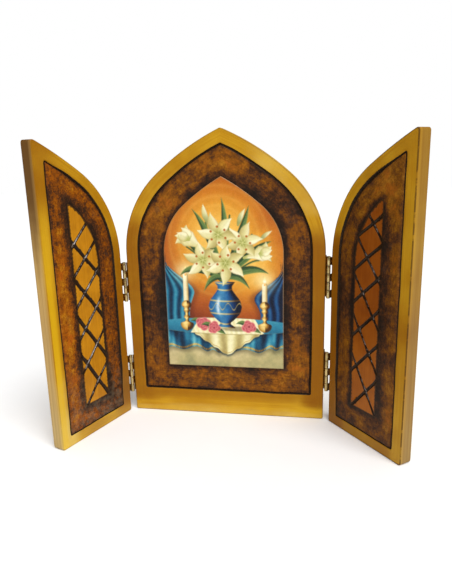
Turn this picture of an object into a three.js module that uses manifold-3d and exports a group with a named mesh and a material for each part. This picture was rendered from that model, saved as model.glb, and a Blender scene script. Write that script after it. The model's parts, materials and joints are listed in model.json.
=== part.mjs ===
// A small devotional triptych: a pointed-arch centre panel with a picture mounted on its face, and
// two half-arch wings, each hung on a pair of brass butt hinges.
//
// Millimetres, +Z up, fronts towards -Y. The origin is the middle of the centre panel's underside.
// A board is drawn flat, with x across, y up and z out of its face, and then stood upright.

import * as THREE from "three";
import { mergeVertices } from "three/addons/utils/BufferGeometryUtils.js";
import Module from "manifold-3d";

const wasm = await Module();
wasm.setup();

// ---------------------------------------------------------------- driving dimensions

const BOARD_THICKNESS = 10;
const ARRIS_RADIUS = 1.3;
const ARRIS_STEPS = 2;

// An arch is a shoulder arc that springs upright from the side, then a flatter arc to the point.
const CENTRE_ARCH = {
  halfWidth: 75,
  springHeight: 128.7,
  shoulderRadius: 77.6,
  shoulderTurn: THREE.MathUtils.degToRad(48.3),
  apexHeight: 218.3,
};
const WING_ARCH = {
  halfWidth: 74,
  springHeight: 127.3,
  shoulderRadius: 75.5,
  shoulderTurn: THREE.MathUtils.degToRad(57),
  apexHeight: 212.5,
};
const SHOULDER_STEPS = 16;
const FLAT_STEPS = 9;
const CORNER_STEPS = 4;
const SOFT_CORNER = 1.5;
const FREE_CORNER = 2.2;

// Carved outline grooves, as insets from the board's own outline.
const CENTRE_GROOVE = { inset: 10, bottom: 20 };
const WING_GROOVE = { inset: 8.4, bottom: 8, free: 9.2 };
const OUTLINE_CUT = { width: 1.7, depth: 1.1 };

// The lattice field of a wing, and its two families of carved lines, counted from the bottom.
// A line is given by its height at the middle of the field and by its slope.
const LATTICE_FIELD = { inset: 24.2, bottom: 24, free: 25.2 };
const LATTICE_CUT = { width: 1.8, depth: 1 };
const LATTICE_LINE_LENGTH = 70;
const RISING_LINES = { first: 36, pitch: 27.2, tightening: 0.8, slope: 1.1 };
const FALLING_LINES = { first: 43.3, pitch: 30, tightening: 0.25, slope: -1.57 };

// The cutters stand this far out of the face they cut.
const CUTTER_LIFT = 0.4;

// The picture, a mounted print on the centre panel's face.
const PRINT = { inset: 30, bottom: 40, thickness: 1 };

// Butt hinges. A pin stands a little in front of the faces, so that closed wings clear the print.
const PIN_OUTBOARD = 2.1;
const PIN_FORWARD = 0.9;
const PIN_RADIUS = 0.75;
const PIN_HEAD = { radius: 1.3, height: 0.5, chamfer: 0.2, lift: 0.15 };
const HINGE_LENGTH = 30;
const KNUCKLES = 5;
const KNUCKLE_GAP = 0.3;
const BARREL_RADIUS = 1.7;
const BORE_RADIUS = 0.85;
const LEAF = { thickness: 1, reach: 8.4, relief: 0.4 };
const ROUND_SIDES = 16;

// Each wing: the side it is on, how far it stands folded forward of lying flat, the feet of its
// hinges, and how much its lattice slopes ease towards the top.
const WINGS = {
  left: {
    side: -1,
    fold: THREE.MathUtils.degToRad(70),
    hingeFeet: { lower: 16, upper: 91.3 },
    rising: { count: 6, easing: -0.025 },
    falling: { count: 4, easing: 0.145 },
  },
  right: {
    side: 1,
    fold: THREE.MathUtils.degToRad(52),
    hingeFeet: { lower: 24.5, upper: 97 },
    rising: { count: 6, easing: -0.08 },
    falling: { count: 5, easing: 0.095 },
  },
};

// ---------------------------------------------------------------- materials

const FINISHES = {
  lacqueredWood: { color: 0xb9821f, roughness: 0.32, metalness: 0 },
  print: { color: 0xd8a24a, roughness: 0.2, metalness: 0 },
  brass: { color: 0xc9a45a, roughness: 0.35, metalness: 1 },
};

function namedMesh(name, geometry, finish) {
  const mesh = new THREE.Mesh(geometry, new THREE.MeshStandardMaterial(FINISHES[finish]));
  mesh.name = name;
  return mesh;
}

// ---------------------------------------------------------------- solids

function reversed(indices) {
  const turned = indices.slice();
  for (let i = 0; i < turned.length; i += 3) {
    turned[i] = indices[i + 1];
    turned[i + 1] = indices[i];
  }
  return turned;
}

function signedVolume(positions, indices) {
  const corner = (i) => new THREE.Vector3().fromArray(positions, 3 * indices[i]);
  let sixfold = 0;
  for (let i = 0; i < indices.length; i += 3) {
    sixfold += corner(i).dot(corner(i + 1).cross(corner(i + 2)));
  }
  return sixfold / 6;
}

// A closed geometry as a solid, turned the right way out if it is inside out.
function toSolid(geometry) {
  const bare = geometry.clone();
  bare.deleteAttribute("normal");
  bare.deleteAttribute("uv");
  const merged = mergeVertices(bare, 1e-4);
  const vertProperties = new Float32Array(merged.attributes.position.array);
  const indices = new Uint32Array(merged.index.array);
  const facesOut = signedVolume(vertProperties, indices) > 0;
  const triVerts = facesOut ? indices : reversed(indices);
  return new wasm.Manifold(new wasm.Mesh({ numProp: 3, vertProperties, triVerts }));
}

function toGeometry(solid) {
  const mesh = solid.getMesh();
  const geometry = new THREE.BufferGeometry();
  geometry.setAttribute("position", new THREE.BufferAttribute(mesh.vertProperties, 3));
  geometry.setIndex(new THREE.BufferAttribute(mesh.triVerts, 1));
  geometry.computeVertexNormals();
  return geometry;
}

// ---------------------------------------------------------------- outlines

function arcPoints(centre, radius, from, to, steps) {
  const points = [];
  for (let i = 0; i <= steps; i++) {
    const angle = from + ((to - from) * i) / steps;
    points.push(
      new THREE.Vector2(
        centre.x + radius * Math.cos(angle),
        centre.y + radius * Math.sin(angle),
      ),
    );
  }
  return points;
}

// The right-hand side of an arch, from its springing up to the line x = endX. Insets are
// concentric and have the same number of points.
function archSide(arch, inset, endX) {
  const { halfWidth, springHeight, shoulderRadius, shoulderTurn, apexHeight } = arch;
  const shoulderCentre = new THREE.Vector2(halfWidth - shoulderRadius, springHeight);
  const outward = new THREE.Vector2(Math.cos(shoulderTurn), Math.sin(shoulderTurn));
  const shoulderEnd = shoulderCentre.clone().addScaledVector(outward, shoulderRadius);
  const toApex = new THREE.Vector2(0, apexHeight).sub(shoulderEnd);
  const flatRadius = toApex.lengthSq() / (-2 * toApex.dot(outward));
  const flatCentre = shoulderEnd.clone().addScaledVector(outward, -flatRadius);
  const end = Math.acos((endX - flatCentre.x) / (flatRadius - inset));
  return [
    ...arcPoints(shoulderCentre, shoulderRadius - inset, 0, shoulderTurn, SHOULDER_STEPS),
    ...arcPoints(flatCentre, flatRadius - inset, shoulderTurn, end, FLAT_STEPS).slice(1),
  ];
}

// A whole pointed arch, counter-clockwise from its bottom left corner.
function pointedOutline({ inset, bottom }) {
  const right = archSide(CENTRE_ARCH, inset, 0);
  const left = right.slice(0, -1).reverse();
  return [
    new THREE.Vector2(-right[0].x, bottom),
    new THREE.Vector2(right[0].x, bottom),
    ...right,
    ...left.map((point) => new THREE.Vector2(-point.x, point.y)),
  ];
}

// Half an arch, counter-clockwise from the bottom of its straight free edge, which is at x = free.
function halfOutline({ inset, bottom, free }) {
  const curve = archSide(WING_ARCH, inset, free);
  return [
    new THREE.Vector2(free, bottom),
    new THREE.Vector2(curve[0].x, bottom),
    ...curve,
  ];
}

// The arc that rounds the corner between two neighbours on a counter-clockwise outline.
function roundedCorner(before, corner, after, radius) {
  const back = before.clone().sub(corner).normalize();
  const on = after.clone().sub(corner).normalize();
  const half = Math.acos(back.dot(on)) / 2;
  const bisector = back.clone().add(on).normalize();
  const centre = corner.clone().addScaledVector(bisector, radius / Math.sin(half));
  const run = radius / Math.tan(half);
  const start = corner.clone().addScaledVector(back, run).sub(centre).angle();
  const sweep = Math.PI - 2 * half;
  return arcPoints(centre, radius, start, start + sweep, CORNER_STEPS);
}

// The outline with some corners rounded: radii maps a point's index to its radius.
function softened(outline, radii) {
  const count = outline.length;
  return outline.flatMap((point, i) => {
    if (!radii.has(i)) {
      return [point];
    }
    const before = outline[(i + count - 1) % count];
    return roundedCorner(before, point, outline[(i + 1) % count], radii.get(i));
  });
}

// A wing is drawn with its free edge on x = 0 and is turned over for the right-hand side.
function handed(outline, side) {
  return outline.map((point) => new THREE.Vector2(-side * point.x, point.y));
}

// ---------------------------------------------------------------- boards and their carving

// A board of full thickness with rounded arrises, its back on z = 0.
function boardSolid(outline) {
  const geometry = new THREE.ExtrudeGeometry(new THREE.Shape(outline), {
    depth: BOARD_THICKNESS - 2 * ARRIS_RADIUS,
    bevelThickness: ARRIS_RADIUS,
    bevelSize: ARRIS_RADIUS,
    bevelOffset: -ARRIS_RADIUS,
    bevelSegments: ARRIS_STEPS,
  });
  geometry.translate(0, 0, ARRIS_RADIUS);
  return toSolid(geometry);
}

// Half the width of a V cut where the cutter ends, above the face.
function cutterHalfWidth({ width, depth }) {
  return ((width / 2) * (depth + CUTTER_LIFT)) / depth;
}

// A closed V groove: outlineAt(shift) is the same loop moved inwards by shift.
function loopCutter(outlineAt, cut) {
  const half = cutterHalfWidth(cut);
  const top = BOARD_THICKNESS + CUTTER_LIFT;
  const rails = [
    { points: outlineAt(-half), z: top },
    { points: outlineAt(half), z: top },
    { points: outlineAt(0), z: BOARD_THICKNESS - cut.depth },
  ];
  const count = rails[0].points.length;
  const positions = rails.flatMap(({ points, z }) =>
    points.flatMap((point) => [point.x, point.y, z]),
  );
  const indices = [];
  for (let i = 0; i < count; i++) {
    const next = (i + 1) % count;
    for (let rail = 0; rail < rails.length; rail++) {
      const here = rail * count;
      const there = ((rail + 1) % rails.length) * count;
      indices.push(here + i, here + next, there + i);
      indices.push(there + i, here + next, there + next);
    }
  }
  const geometry = new THREE.BufferGeometry();
  geometry.setAttribute("position", new THREE.Float32BufferAttribute(positions, 3));
  geometry.setIndex(indices);
  return toSolid(geometry);
}

// A straight V groove through the point (x, y) of the face, with the given slope.
function lineCutter(x, y, slope, cut) {
  const half = cutterHalfWidth(cut);
  const section = new THREE.Shape([
    new THREE.Vector2(-half, CUTTER_LIFT),
    new THREE.Vector2(0, -cut.depth),
    new THREE.Vector2(half, CUTTER_LIFT),
  ]);
  const geometry = new THREE.ExtrudeGeometry(section, {
    depth: LATTICE_LINE_LENGTH,
    bevelEnabled: false,
  });
  geometry.translate(0, 0, -LATTICE_LINE_LENGTH / 2);
  const along = new THREE.Vector3(1, slope, 0).normalize();
  const out = new THREE.Vector3(0, 0, 1);
  const across = out.clone().cross(along);
  geometry.applyMatrix4(new THREE.Matrix4().makeBasis(across, out, along));
  geometry.translate(x, y, BOARD_THICKNESS);
  return toSolid(geometry);
}

// All the carved lines of a wing's lattice, trimmed to their field.
function latticeCutter({ side, rising, falling }) {
  const fieldOutline = handed(halfOutline(LATTICE_FIELD), side);
  const field = new THREE.ExtrudeGeometry(new THREE.Shape(fieldOutline), {
    depth: BOARD_THICKNESS,
    bevelEnabled: false,
  });
  field.translate(0, 0, BOARD_THICKNESS / 2);
  const fieldMiddle = (LATTICE_FIELD.free + WING_ARCH.halfWidth - LATTICE_FIELD.inset) / 2;
  const lines = [];
  for (const [family, { count, easing }] of [
    [RISING_LINES, rising],
    [FALLING_LINES, falling],
  ]) {
    for (let k = 0; k < count; k++) {
      const height = family.first + family.pitch * k - family.tightening * k * k;
      const slope = family.slope + easing * k;
      lines.push(lineCutter(-side * fieldMiddle, height, slope, LATTICE_CUT));
    }
  }
  return lines.reduce((all, line) => all.add(line)).intersect(toSolid(field));
}

function stoodUpright(mesh) {
  mesh.rotation.x = Math.PI / 2;
  return mesh;
}

function centrePanel() {
  const outline = pointedOutline({ inset: 0, bottom: 0 });
  const apex = 1 + SHOULDER_STEPS + FLAT_STEPS + 1;
  const radii = new Map([
    [0, SOFT_CORNER],
    [1, SOFT_CORNER],
    [apex, SOFT_CORNER],
  ]);
  const groove = loopCutter(
    (shift) =>
      pointedOutline({
        inset: CENTRE_GROOVE.inset + shift,
        bottom: CENTRE_GROOVE.bottom + shift,
      }),
    OUTLINE_CUT,
  );
  const carved = boardSolid(softened(outline, radii)).subtract(groove);
  const mesh = stoodUpright(namedMesh("centre_panel", toGeometry(carved), "lacqueredWood"));
  mesh.position.y = BOARD_THICKNESS / 2;
  return mesh;
}

function picturePrint() {
  const geometry = new THREE.ExtrudeGeometry(new THREE.Shape(pointedOutline(PRINT)), {
    depth: PRINT.thickness,
    bevelEnabled: false,
  });
  const mesh = stoodUpright(namedMesh("picture_print", geometry, "print"));
  mesh.position.y = -BOARD_THICKNESS / 2;
  return mesh;
}

// A wing's board, placed in the wing's own frame, whose origin is the hinge axis.
function wingPanel(name, wing) {
  const { side } = wing;
  const outline = halfOutline({ inset: 0, bottom: 0, free: 0 });
  const radii = new Map([
    [0, FREE_CORNER],
    [1, SOFT_CORNER],
    [outline.length - 1, FREE_CORNER],
  ]);
  const groove = loopCutter(
    (shift) =>
      handed(
        halfOutline({
          inset: WING_GROOVE.inset + shift,
          bottom: WING_GROOVE.bottom + shift,
          free: WING_GROOVE.free + shift,
        }),
        side,
      ),
    OUTLINE_CUT,
  );
  const board = boardSolid(handed(softened(outline, radii), side));
  const carved = board.subtract(groove).subtract(latticeCutter(wing));
  const mesh = stoodUpright(namedMesh(name, toGeometry(carved), "lacqueredWood"));
  mesh.position.x = side * (PIN_OUTBOARD + WING_ARCH.halfWidth);
  mesh.position.y = PIN_FORWARD + BOARD_THICKNESS;
  return mesh;
}

// ---------------------------------------------------------------- hinges

function boxSolid(low, high) {
  const size = high.clone().sub(low);
  const middle = low.clone().add(high).multiplyScalar(0.5);
  const geometry = new THREE.BoxGeometry(size.x, size.y, size.z);
  geometry.translate(middle.x, middle.y, middle.z);
  return toSolid(geometry);
}

function uprightCylinder(radius, bottom, top) {
  const geometry = new THREE.CylinderGeometry(radius, radius, top - bottom, ROUND_SIDES);
  geometry.rotateX(Math.PI / 2);
  geometry.translate(0, 0, (bottom + top) / 2);
  return toSolid(geometry);
}

// A leaf with its share of the knuckles, in a frame whose origin is the foot of the hinge axis.
// boardSide says on which side of the axis the leaf's board is; owns(i) which knuckles it has.
function hingeLeaf(name, boardSide, owns) {
  const inner = (BARREL_RADIUS - LEAF.thickness) * boardSide;
  const outer = BARREL_RADIUS * boardSide;
  const lowX = Math.min(inner, outer);
  const highX = Math.max(inner, outer);
  const plateStart = BARREL_RADIUS + LEAF.relief;
  let leaf = boxSolid(
    new THREE.Vector3(lowX, plateStart, 0),
    new THREE.Vector3(highX, LEAF.reach, HINGE_LENGTH),
  );
  const pitch = HINGE_LENGTH / KNUCKLES;
  for (let i = 0; i < KNUCKLES; i++) {
    if (!owns(i)) {
      continue;
    }
    const bottom = i === 0 ? 0 : i * pitch + KNUCKLE_GAP / 2;
    const top = i === KNUCKLES - 1 ? HINGE_LENGTH : (i + 1) * pitch - KNUCKLE_GAP / 2;
    const neck = boxSolid(
      new THREE.Vector3(lowX, 0, bottom),
      new THREE.Vector3(highX, (plateStart + LEAF.reach) / 2, top),
    );
    leaf = leaf.add(uprightCylinder(BARREL_RADIUS, bottom, top)).add(neck);
  }
  const bore = uprightCylinder(BORE_RADIUS, -KNUCKLE_GAP, HINGE_LENGTH + KNUCKLE_GAP);
  return namedMesh(name, toGeometry(leaf.subtract(bore)), "brass");
}

// The hinge pin, with a chamfered head at each end of the barrel.
function hingePin(name) {
  const { radius, height, chamfer, lift } = PIN_HEAD;
  const half = HINGE_LENGTH / 2 + lift;
  const upperHalf = [
    new THREE.Vector2(PIN_RADIUS, half),
    new THREE.Vector2(radius, half),
    new THREE.Vector2(radius, half + height - chamfer),
    new THREE.Vector2(radius - chamfer, half + height),
    new THREE.Vector2(0, half + height),
  ];
  const lowerHalf = upperHalf.map((point) => new THREE.Vector2(point.x, -point.y)).reverse();
  const geometry = new THREE.LatheGeometry([...lowerHalf, ...upperHalf], ROUND_SIDES);
  geometry.rotateX(Math.PI / 2);
  geometry.translate(0, 0, HINGE_LENGTH / 2);
  return namedMesh(name, geometry, "brass");
}

// ---------------------------------------------------------------- assembly

const isWingKnuckle = (i) => i % 2 === 0;
const isCentreKnuckle = (i) => i % 2 === 1;

const triptych = new THREE.Group();
triptych.add(centrePanel());
triptych.add(picturePrint());

for (const [hand, wing] of Object.entries(WINGS)) {
  const axis = new THREE.Vector3(
    wing.side * (CENTRE_ARCH.halfWidth + PIN_OUTBOARD),
    -BOARD_THICKNESS / 2 - PIN_FORWARD,
    0,
  );
  const wingFrame = new THREE.Group();
  wingFrame.position.copy(axis);
  wingFrame.rotation.z = -wing.side * wing.fold;
  wingFrame.add(wingPanel(`${hand}_wing_panel`, wing));

  for (const [place, foot] of Object.entries(wing.hingeFeet)) {
    const fixedFrame = new THREE.Group();
    fixedFrame.position.copy(axis).setZ(foot);
    const prefix = `hinge_${hand}_${place}`;
    fixedFrame.add(hingeLeaf(`${prefix}_centre_leaf`, -wing.side, isCentreKnuckle));
    fixedFrame.add(hingePin(`${prefix}_pin`));
    triptych.add(fixedFrame);

    const wingLeaf = hingeLeaf(`${prefix}_wing_leaf`, wing.side, isWingKnuckle);
    wingLeaf.position.z = foot;
    wingFrame.add(wingLeaf);
  }
  triptych.add(wingFrame);
}

export default triptych;
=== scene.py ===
import json
import math
from dataclasses import dataclass

import bmesh
import bpy
import numpy as np
from mathutils import Matrix, Vector
from mathutils.geometry import delaunay_2d_cdt


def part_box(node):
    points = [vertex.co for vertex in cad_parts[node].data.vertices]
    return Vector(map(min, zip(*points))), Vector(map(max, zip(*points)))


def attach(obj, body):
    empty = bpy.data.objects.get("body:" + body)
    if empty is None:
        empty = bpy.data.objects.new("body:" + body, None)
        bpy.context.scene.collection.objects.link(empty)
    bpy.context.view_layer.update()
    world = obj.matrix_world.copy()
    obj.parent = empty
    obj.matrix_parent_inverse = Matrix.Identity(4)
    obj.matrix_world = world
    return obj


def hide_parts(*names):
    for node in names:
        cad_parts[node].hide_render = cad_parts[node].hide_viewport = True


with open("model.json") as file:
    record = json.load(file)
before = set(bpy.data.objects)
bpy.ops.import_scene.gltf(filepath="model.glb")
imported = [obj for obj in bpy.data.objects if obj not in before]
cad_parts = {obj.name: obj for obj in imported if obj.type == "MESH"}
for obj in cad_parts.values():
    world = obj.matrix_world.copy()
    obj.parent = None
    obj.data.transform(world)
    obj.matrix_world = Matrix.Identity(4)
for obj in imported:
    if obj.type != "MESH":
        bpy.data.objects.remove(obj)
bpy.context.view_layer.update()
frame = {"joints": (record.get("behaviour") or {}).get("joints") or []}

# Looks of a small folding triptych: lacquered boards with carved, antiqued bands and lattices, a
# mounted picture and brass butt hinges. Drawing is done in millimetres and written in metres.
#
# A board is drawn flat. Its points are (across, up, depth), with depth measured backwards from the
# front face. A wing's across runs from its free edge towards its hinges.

MM = 0.001

# ------------------------------------------------------------------ sizes, as in the CAD source


@dataclass(frozen=True)
class Arch:
    """A pointed arch: upright sides, a round shoulder and then a flatter curve to the apex."""

    half_width: float
    spring: float
    shoulder_radius: float
    shoulder_turn: float
    apex: float


@dataclass(frozen=True)
class Inset:
    """How far a loop lies inside the outline: along the arch, at the bottom and at a free edge."""

    side: float
    bottom: float
    free: float = 0

    def moved(self, shift):
        return Inset(self.side + shift, self.bottom + shift, self.free + shift)


THICKNESS = 10
ARRIS = 0.6
BACK_ARRIS = 1.3
ARRIS_STEPS = 6
FREE_EASE = 0.32
CENTRE_ARCH = Arch(75, 128.7, 77.6, math.radians(48.3), 218.3)
WING_ARCH = Arch(74, 127.3, 75.5, math.radians(57), 212.5)
SOFT_CORNER = 1.6
FREE_CORNER = 2.2

CENTRE_GROOVE = Inset(10, 20)
WING_GROOVE = Inset(8.4, 8, 9.2)
OUTLINE_CUT = (1.7, 1.1)
LATTICE_FIELD = Inset(24.2, 24, 25.2)
LATTICE_CUT = (1.8, 1)

# A family of carved lines: height of the first at the field's middle, pitch, tightening and slope.
RISING = (36, 27.2, 0.8, 1.1)
FALLING = (43.3, 30, 0.25, -1.57)
# Each wing's side, and for each family the number of lines, the easing of their slope, how
# broadly they are painted and how much their paint glints.
WINGS = {
    "left": (-1, ((RISING, 6, -0.025, 1, 1), (FALLING, 4, 0.145, 1.25, 0.08))),
    "right": (1, ((RISING, 6, -0.08, 1.1, 0), (FALLING, 5, 0.095, 0.8, 0.45))),
}

PRINT_INSET = Inset(30, 40)
PRINT_THICKNESS = 1

PIN_OUTBOARD = 2.1
PIN_FORWARD = 0.9
PIN_RADIUS = 0.75
HINGE_LENGTH = 30
KNUCKLES = 5
KNUCKLE_GAP = 0.3
LEAF_REACH = 8.4

ZONES = ("frame", "band", "field", "back")
FRAME, BAND, FIELD, BACK = range(len(ZONES))

# ------------------------------------------------------------------ numbers and noise


def smoothstep(low, high, value):
    t = np.clip((np.asarray(value, float) - low) / (high - low), 0, 1)
    return t * t * (3 - 2 * t)


def lattice_hash(i, j, seed):
    """A repeatable value from 0 to 1 for each whole-number cell."""
    n = (i.astype(np.int64) * 374761393 + j.astype(np.int64) * 668265263 + seed * 974634777)
    n = (n ^ (n >> 13)) * 1274126177
    n = (n ^ (n >> 16)) & 0xFFFFFF
    return n / float(0xFFFFFF)


def value_noise(points, size, seed):
    """Smooth noise from -1 to 1 over the plane, with features of the given size."""
    scaled = np.asarray(points, float) / size
    cell = np.floor(scaled)
    t = scaled - cell
    t = t * t * (3 - 2 * t)
    i, j = cell[:, 0], cell[:, 1]
    low = lattice_hash(i, j, seed) * (1 - t[:, 0]) + lattice_hash(i + 1, j, seed) * t[:, 0]
    high = lattice_hash(i, j + 1, seed) * (1 - t[:, 0]) + lattice_hash(i + 1, j + 1, seed) * t[:, 0]
    return 2 * (low * (1 - t[:, 1]) + high * t[:, 1]) - 1


def layered_noise(points, size, seed, layers=3):
    total = np.zeros(len(points))
    for layer in range(layers):
        total += value_noise(points, size / 2**layer, seed + layer) / 2**layer
    return total / (2 - 0.5 ** (layers - 1))


def around(value, middle, width):
    """1 at the middle, falling away smoothly over the width."""
    return np.exp(-(((value - middle) / width) ** 2))


def lengths_along(polyline):
    """How far along a polyline each of its points is."""
    return np.concatenate([[0], np.cumsum(np.hypot(*np.diff(polyline, axis=0).T))])


def distance_to(points, polyline):
    """The distance from each point to a polyline."""
    nearest = np.full(len(points), np.inf)
    for start, end in zip(polyline[:-1], polyline[1:]):
        span = end - start
        t = np.clip((points - start) @ span / (span @ span), 0, 1)
        gap = points - start - t[:, None] * span
        nearest = np.minimum(nearest, np.hypot(gap[:, 0], gap[:, 1]))
    return nearest


def closed(loop):
    return np.vstack([loop, loop[:1]])


def inside(points, loop):
    """Whether each point lies within a closed loop, by counting crossings."""
    result = np.zeros(len(points), bool)
    for a, b in zip(loop, np.roll(loop, -1, axis=0)):
        spans = (a[1] > points[:, 1]) != (b[1] > points[:, 1])
        if not spans.any():
            continue
        cross = a[0] + (points[:, 1] - a[1]) * (b[0] - a[0]) / (b[1] - a[1] + 1e-12)
        result ^= spans & (points[:, 0] < cross)
    return result


# ------------------------------------------------------------------ outlines

ARC_STEPS = 48
CORNER_STEPS = 5


def arc(centre, radius, start, end):
    angles = np.linspace(start, end, ARC_STEPS + 1)
    return centre + radius * np.stack([np.cos(angles), np.sin(angles)], axis=1)


def arch_side(arch, inset, end_across):
    """The right-hand side of an arch, from its springing up to the line across = end_across."""
    shoulder = np.array([arch.half_width - arch.shoulder_radius, arch.spring])
    outward = np.array([math.cos(arch.shoulder_turn), math.sin(arch.shoulder_turn)])
    turn_point = shoulder + outward * arch.shoulder_radius
    to_apex = np.array([0, arch.apex]) - turn_point
    flat_radius = (to_apex @ to_apex) / (-2 * to_apex @ outward)
    flat = turn_point - outward * flat_radius
    end = math.acos((end_across - flat[0]) / (flat_radius - inset))
    rounded = arc(shoulder, arch.shoulder_radius - inset, 0, arch.shoulder_turn)
    return np.vstack([rounded, arc(flat, flat_radius - inset, arch.shoulder_turn, end)[1:]])


def at_distances(polyline, distances):
    """The points at the given distances along a polyline."""
    reach = lengths_along(polyline)
    return np.stack([np.interp(distances, reach, polyline[:, k]) for k in range(2)], axis=1)


def polyline_length(polyline):
    return float(np.hypot(*np.diff(polyline, axis=0).T).sum())


def corner_run(before, after, radius):
    """How far a corner of that radius reaches along its two sides."""
    back = before[-2] - before[-1]
    on = after[1] - after[0]
    cosine = (back @ on) / (np.linalg.norm(back) * np.linalg.norm(on))
    return radius / math.tan(math.acos(cosine) / 2)


def eased_loop(sides, radii, counts):
    """A closed loop of evenly spaced points. radii[i] eases the corner where side i starts."""
    runs = [corner_run(sides[i - 1], sides[i], radii[i]) for i in range(len(sides))]
    trimmed = []
    for i, side in enumerate(sides):
        last = polyline_length(side) - runs[(i + 1) % len(sides)]
        trimmed.append(at_distances(side, np.linspace(runs[i], last, counts[i] + 1)))
    points = []
    for i, side in enumerate(trimmed):
        start, corner, end = side[-1], sides[i][-1], trimmed[(i + 1) % len(sides)][0]
        points.append(side)
        for t in np.arange(1, CORNER_STEPS) / CORNER_STEPS:
            bend = (1 - t) ** 2 * start + 2 * t * (1 - t) * corner + t * t * end
            points.append(bend[None, :])
    return np.vstack(points)


CENTRE_COUNTS = (56, 150, 150)
WING_COUNTS = (34, 130, 116)


def centre_loop(inset, corner):
    """A loop of the centre panel, counter-clockwise from its bottom left corner."""
    curve = arch_side(CENTRE_ARCH, inset.side, 0)
    foot = np.array([curve[0, 0], inset.bottom])
    right = np.vstack([foot, curve])
    left = (right * (-1, 1))[::-1]
    bottom = np.array([left[-1], right[0]])
    return eased_loop([bottom, right, left], [corner] * 3, CENTRE_COUNTS)


def wing_loop(inset, corner):
    """A loop of a wing, counter-clockwise from the bottom of its free edge."""
    curve = arch_side(WING_ARCH, inset.side, inset.free)
    foot = np.array([curve[0, 0], inset.bottom])
    free_foot = np.array([inset.free, inset.bottom])
    bottom = np.array([free_foot, foot])
    hinge_side = np.vstack([foot, curve])
    free_edge = np.array([curve[-1], free_foot])
    # The two corners on the free edge are rounder than the one by the hinges.
    rounder = corner * FREE_CORNER / SOFT_CORNER
    return eased_loop([bottom, hinge_side, free_edge], [rounder, corner, rounder], WING_COUNTS)


# ------------------------------------------------------------------ carving

# Across a V cut, in half widths from its middle: where mesh lines run.
CUT_LINES = (0, 0.4, 0.78, 0.97, 1.2)
LIP_START = 0.8
LIP_END = 1.2
ROUNDED_FLOOR = 0.06


def cut_profile(offset):
    """The depth of a V cut with eased lips, from 1 at its middle to 0 outside its lips."""
    s = np.abs(offset)

    def wall(s):
        return 1 - np.sqrt(s * s + ROUNDED_FLOOR**2) + ROUNDED_FLOOR * 0.5

    lip = np.clip(LIP_END - s, 0, None)
    eased = wall(LIP_START) * (lip / (LIP_END - LIP_START)) ** 2
    return np.where(s < LIP_START, wall(s), eased)


def cut_offsets(width):
    """Where mesh lines run across a cut of that width, from its middle."""
    return sorted({sign * s * width / 2 for s in CUT_LINES for sign in (-1, 1)})


@dataclass
class Stroke:
    """A carved line of the lattice, through a point: its slope, how broadly it is painted and how
    much its paint glints."""

    across: float
    up: float
    tilt: float
    breadth: float
    glint: float

    def direction(self):
        return np.array([1, self.tilt]) / math.hypot(1, self.tilt)


def lattice_strokes(side, families):
    """All the strokes of a wing's lattice, in board points."""
    middle = (LATTICE_FIELD.free + WING_ARCH.half_width - LATTICE_FIELD.side) / 2
    strokes = []
    for (first, pitch, tightening, slope), count, easing, breadth, glint in families:
        for k in range(count):
            height = first + pitch * k - tightening * k * k
            strokes.append(Stroke(middle, height, -side * (slope + easing * k), breadth, glint))
    return strokes


# ------------------------------------------------------------------ building a board


class Surface:
    """A mesh being drawn in board points: rings of vertices, strips between them, and fills."""

    def __init__(self):
        self.points = []
        self.faces = []
        self.zones = []
        self.uvs = []

    def add_ring(self, loop, depth):
        first = len(self.points)
        self.points.extend((a, b, depth) for a, b in loop)
        return range(first, first + len(loop))

    def add_strip(self, ring, following, zone, along, v_start, v_end):
        """Quads between two rings. along holds the distance round the loop at each column."""
        count = len(ring)
        for i in range(count):
            j = (i + 1) % count
            self.faces.append((ring[i], ring[j], following[j], following[i]))
            self.zones.append(zone)
            u, u_next = along[i], along[i + 1]
            self.uvs.append(((u, v_start), (u_next, v_start), (u_next, v_end), (u, v_end)))

    def add_fill(self, ring, zone, spacing, lines=()):
        """Triangles over the inside of a ring, through a spread of points and along lines."""
        loop = np.array([self.points[i][:2] for i in ring])
        depth = self.points[ring[0]][2]
        spread = spread_points(loop, spacing)
        line_points = [point for line in lines for point in line]
        coords = [Vector(p) for p in np.vstack([loop, spread, *([line_points] if lines else [])])]
        start = len(loop) + len(spread)
        edges = [(start + 2 * k, start + 2 * k + 1) for k in range(len(lines))]
        verts, _, faces, origins, _, _ = delaunay_2d_cdt(
            coords, edges, [list(range(len(loop)))], 1, 1e-5, True
        )
        index = {}
        for i, vert in enumerate(verts):
            on_ring = [k for k in origins[i] if k < len(loop)]
            if on_ring:
                index[i] = ring[on_ring[0]]
            else:
                index[i] = len(self.points)
                self.points.append((vert.x, vert.y, depth))
        for face in faces:
            corners = tuple(index[i] for i in face)
            self.faces.append(corners)
            self.zones.append(zone)
            self.uvs.append(tuple((self.points[c][1], self.points[c][0]) for c in corners))


def spread_points(loop, spacing):
    """A hexagonal spread of points inside a loop, clear of its edge."""
    low, high = loop.min(axis=0), loop.max(axis=0)
    points = []
    for k, up in enumerate(np.arange(low[1], high[1], spacing * math.sqrt(3) / 2)):
        across = np.arange(low[0] + (k % 2) * spacing / 2, high[0], spacing)
        points.append(np.stack([across, np.full(len(across), up)], axis=1))
    points = np.vstack(points)
    return points[inside(points, loop) & (distance_to(points, closed(loop)) > 0.6 * spacing)]


CLIP_STEPS = 1200


def clipped_to(line, loop, margin):
    """The stretch of a straight line that is inside a loop, less a margin at each end."""
    start, end = line
    steps = np.linspace(0, 1, CLIP_STEPS + 1)
    points = start + steps[:, None] * (end - start)
    within = steps[inside(points, loop)]
    if len(within) < 2:
        return None
    trim = margin / np.linalg.norm(end - start)
    low, high = within[0] + trim, within[-1] - trim
    if high - low < 2 * trim:
        return None
    return start + low * (end - start), start + high * (end - start)


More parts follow.
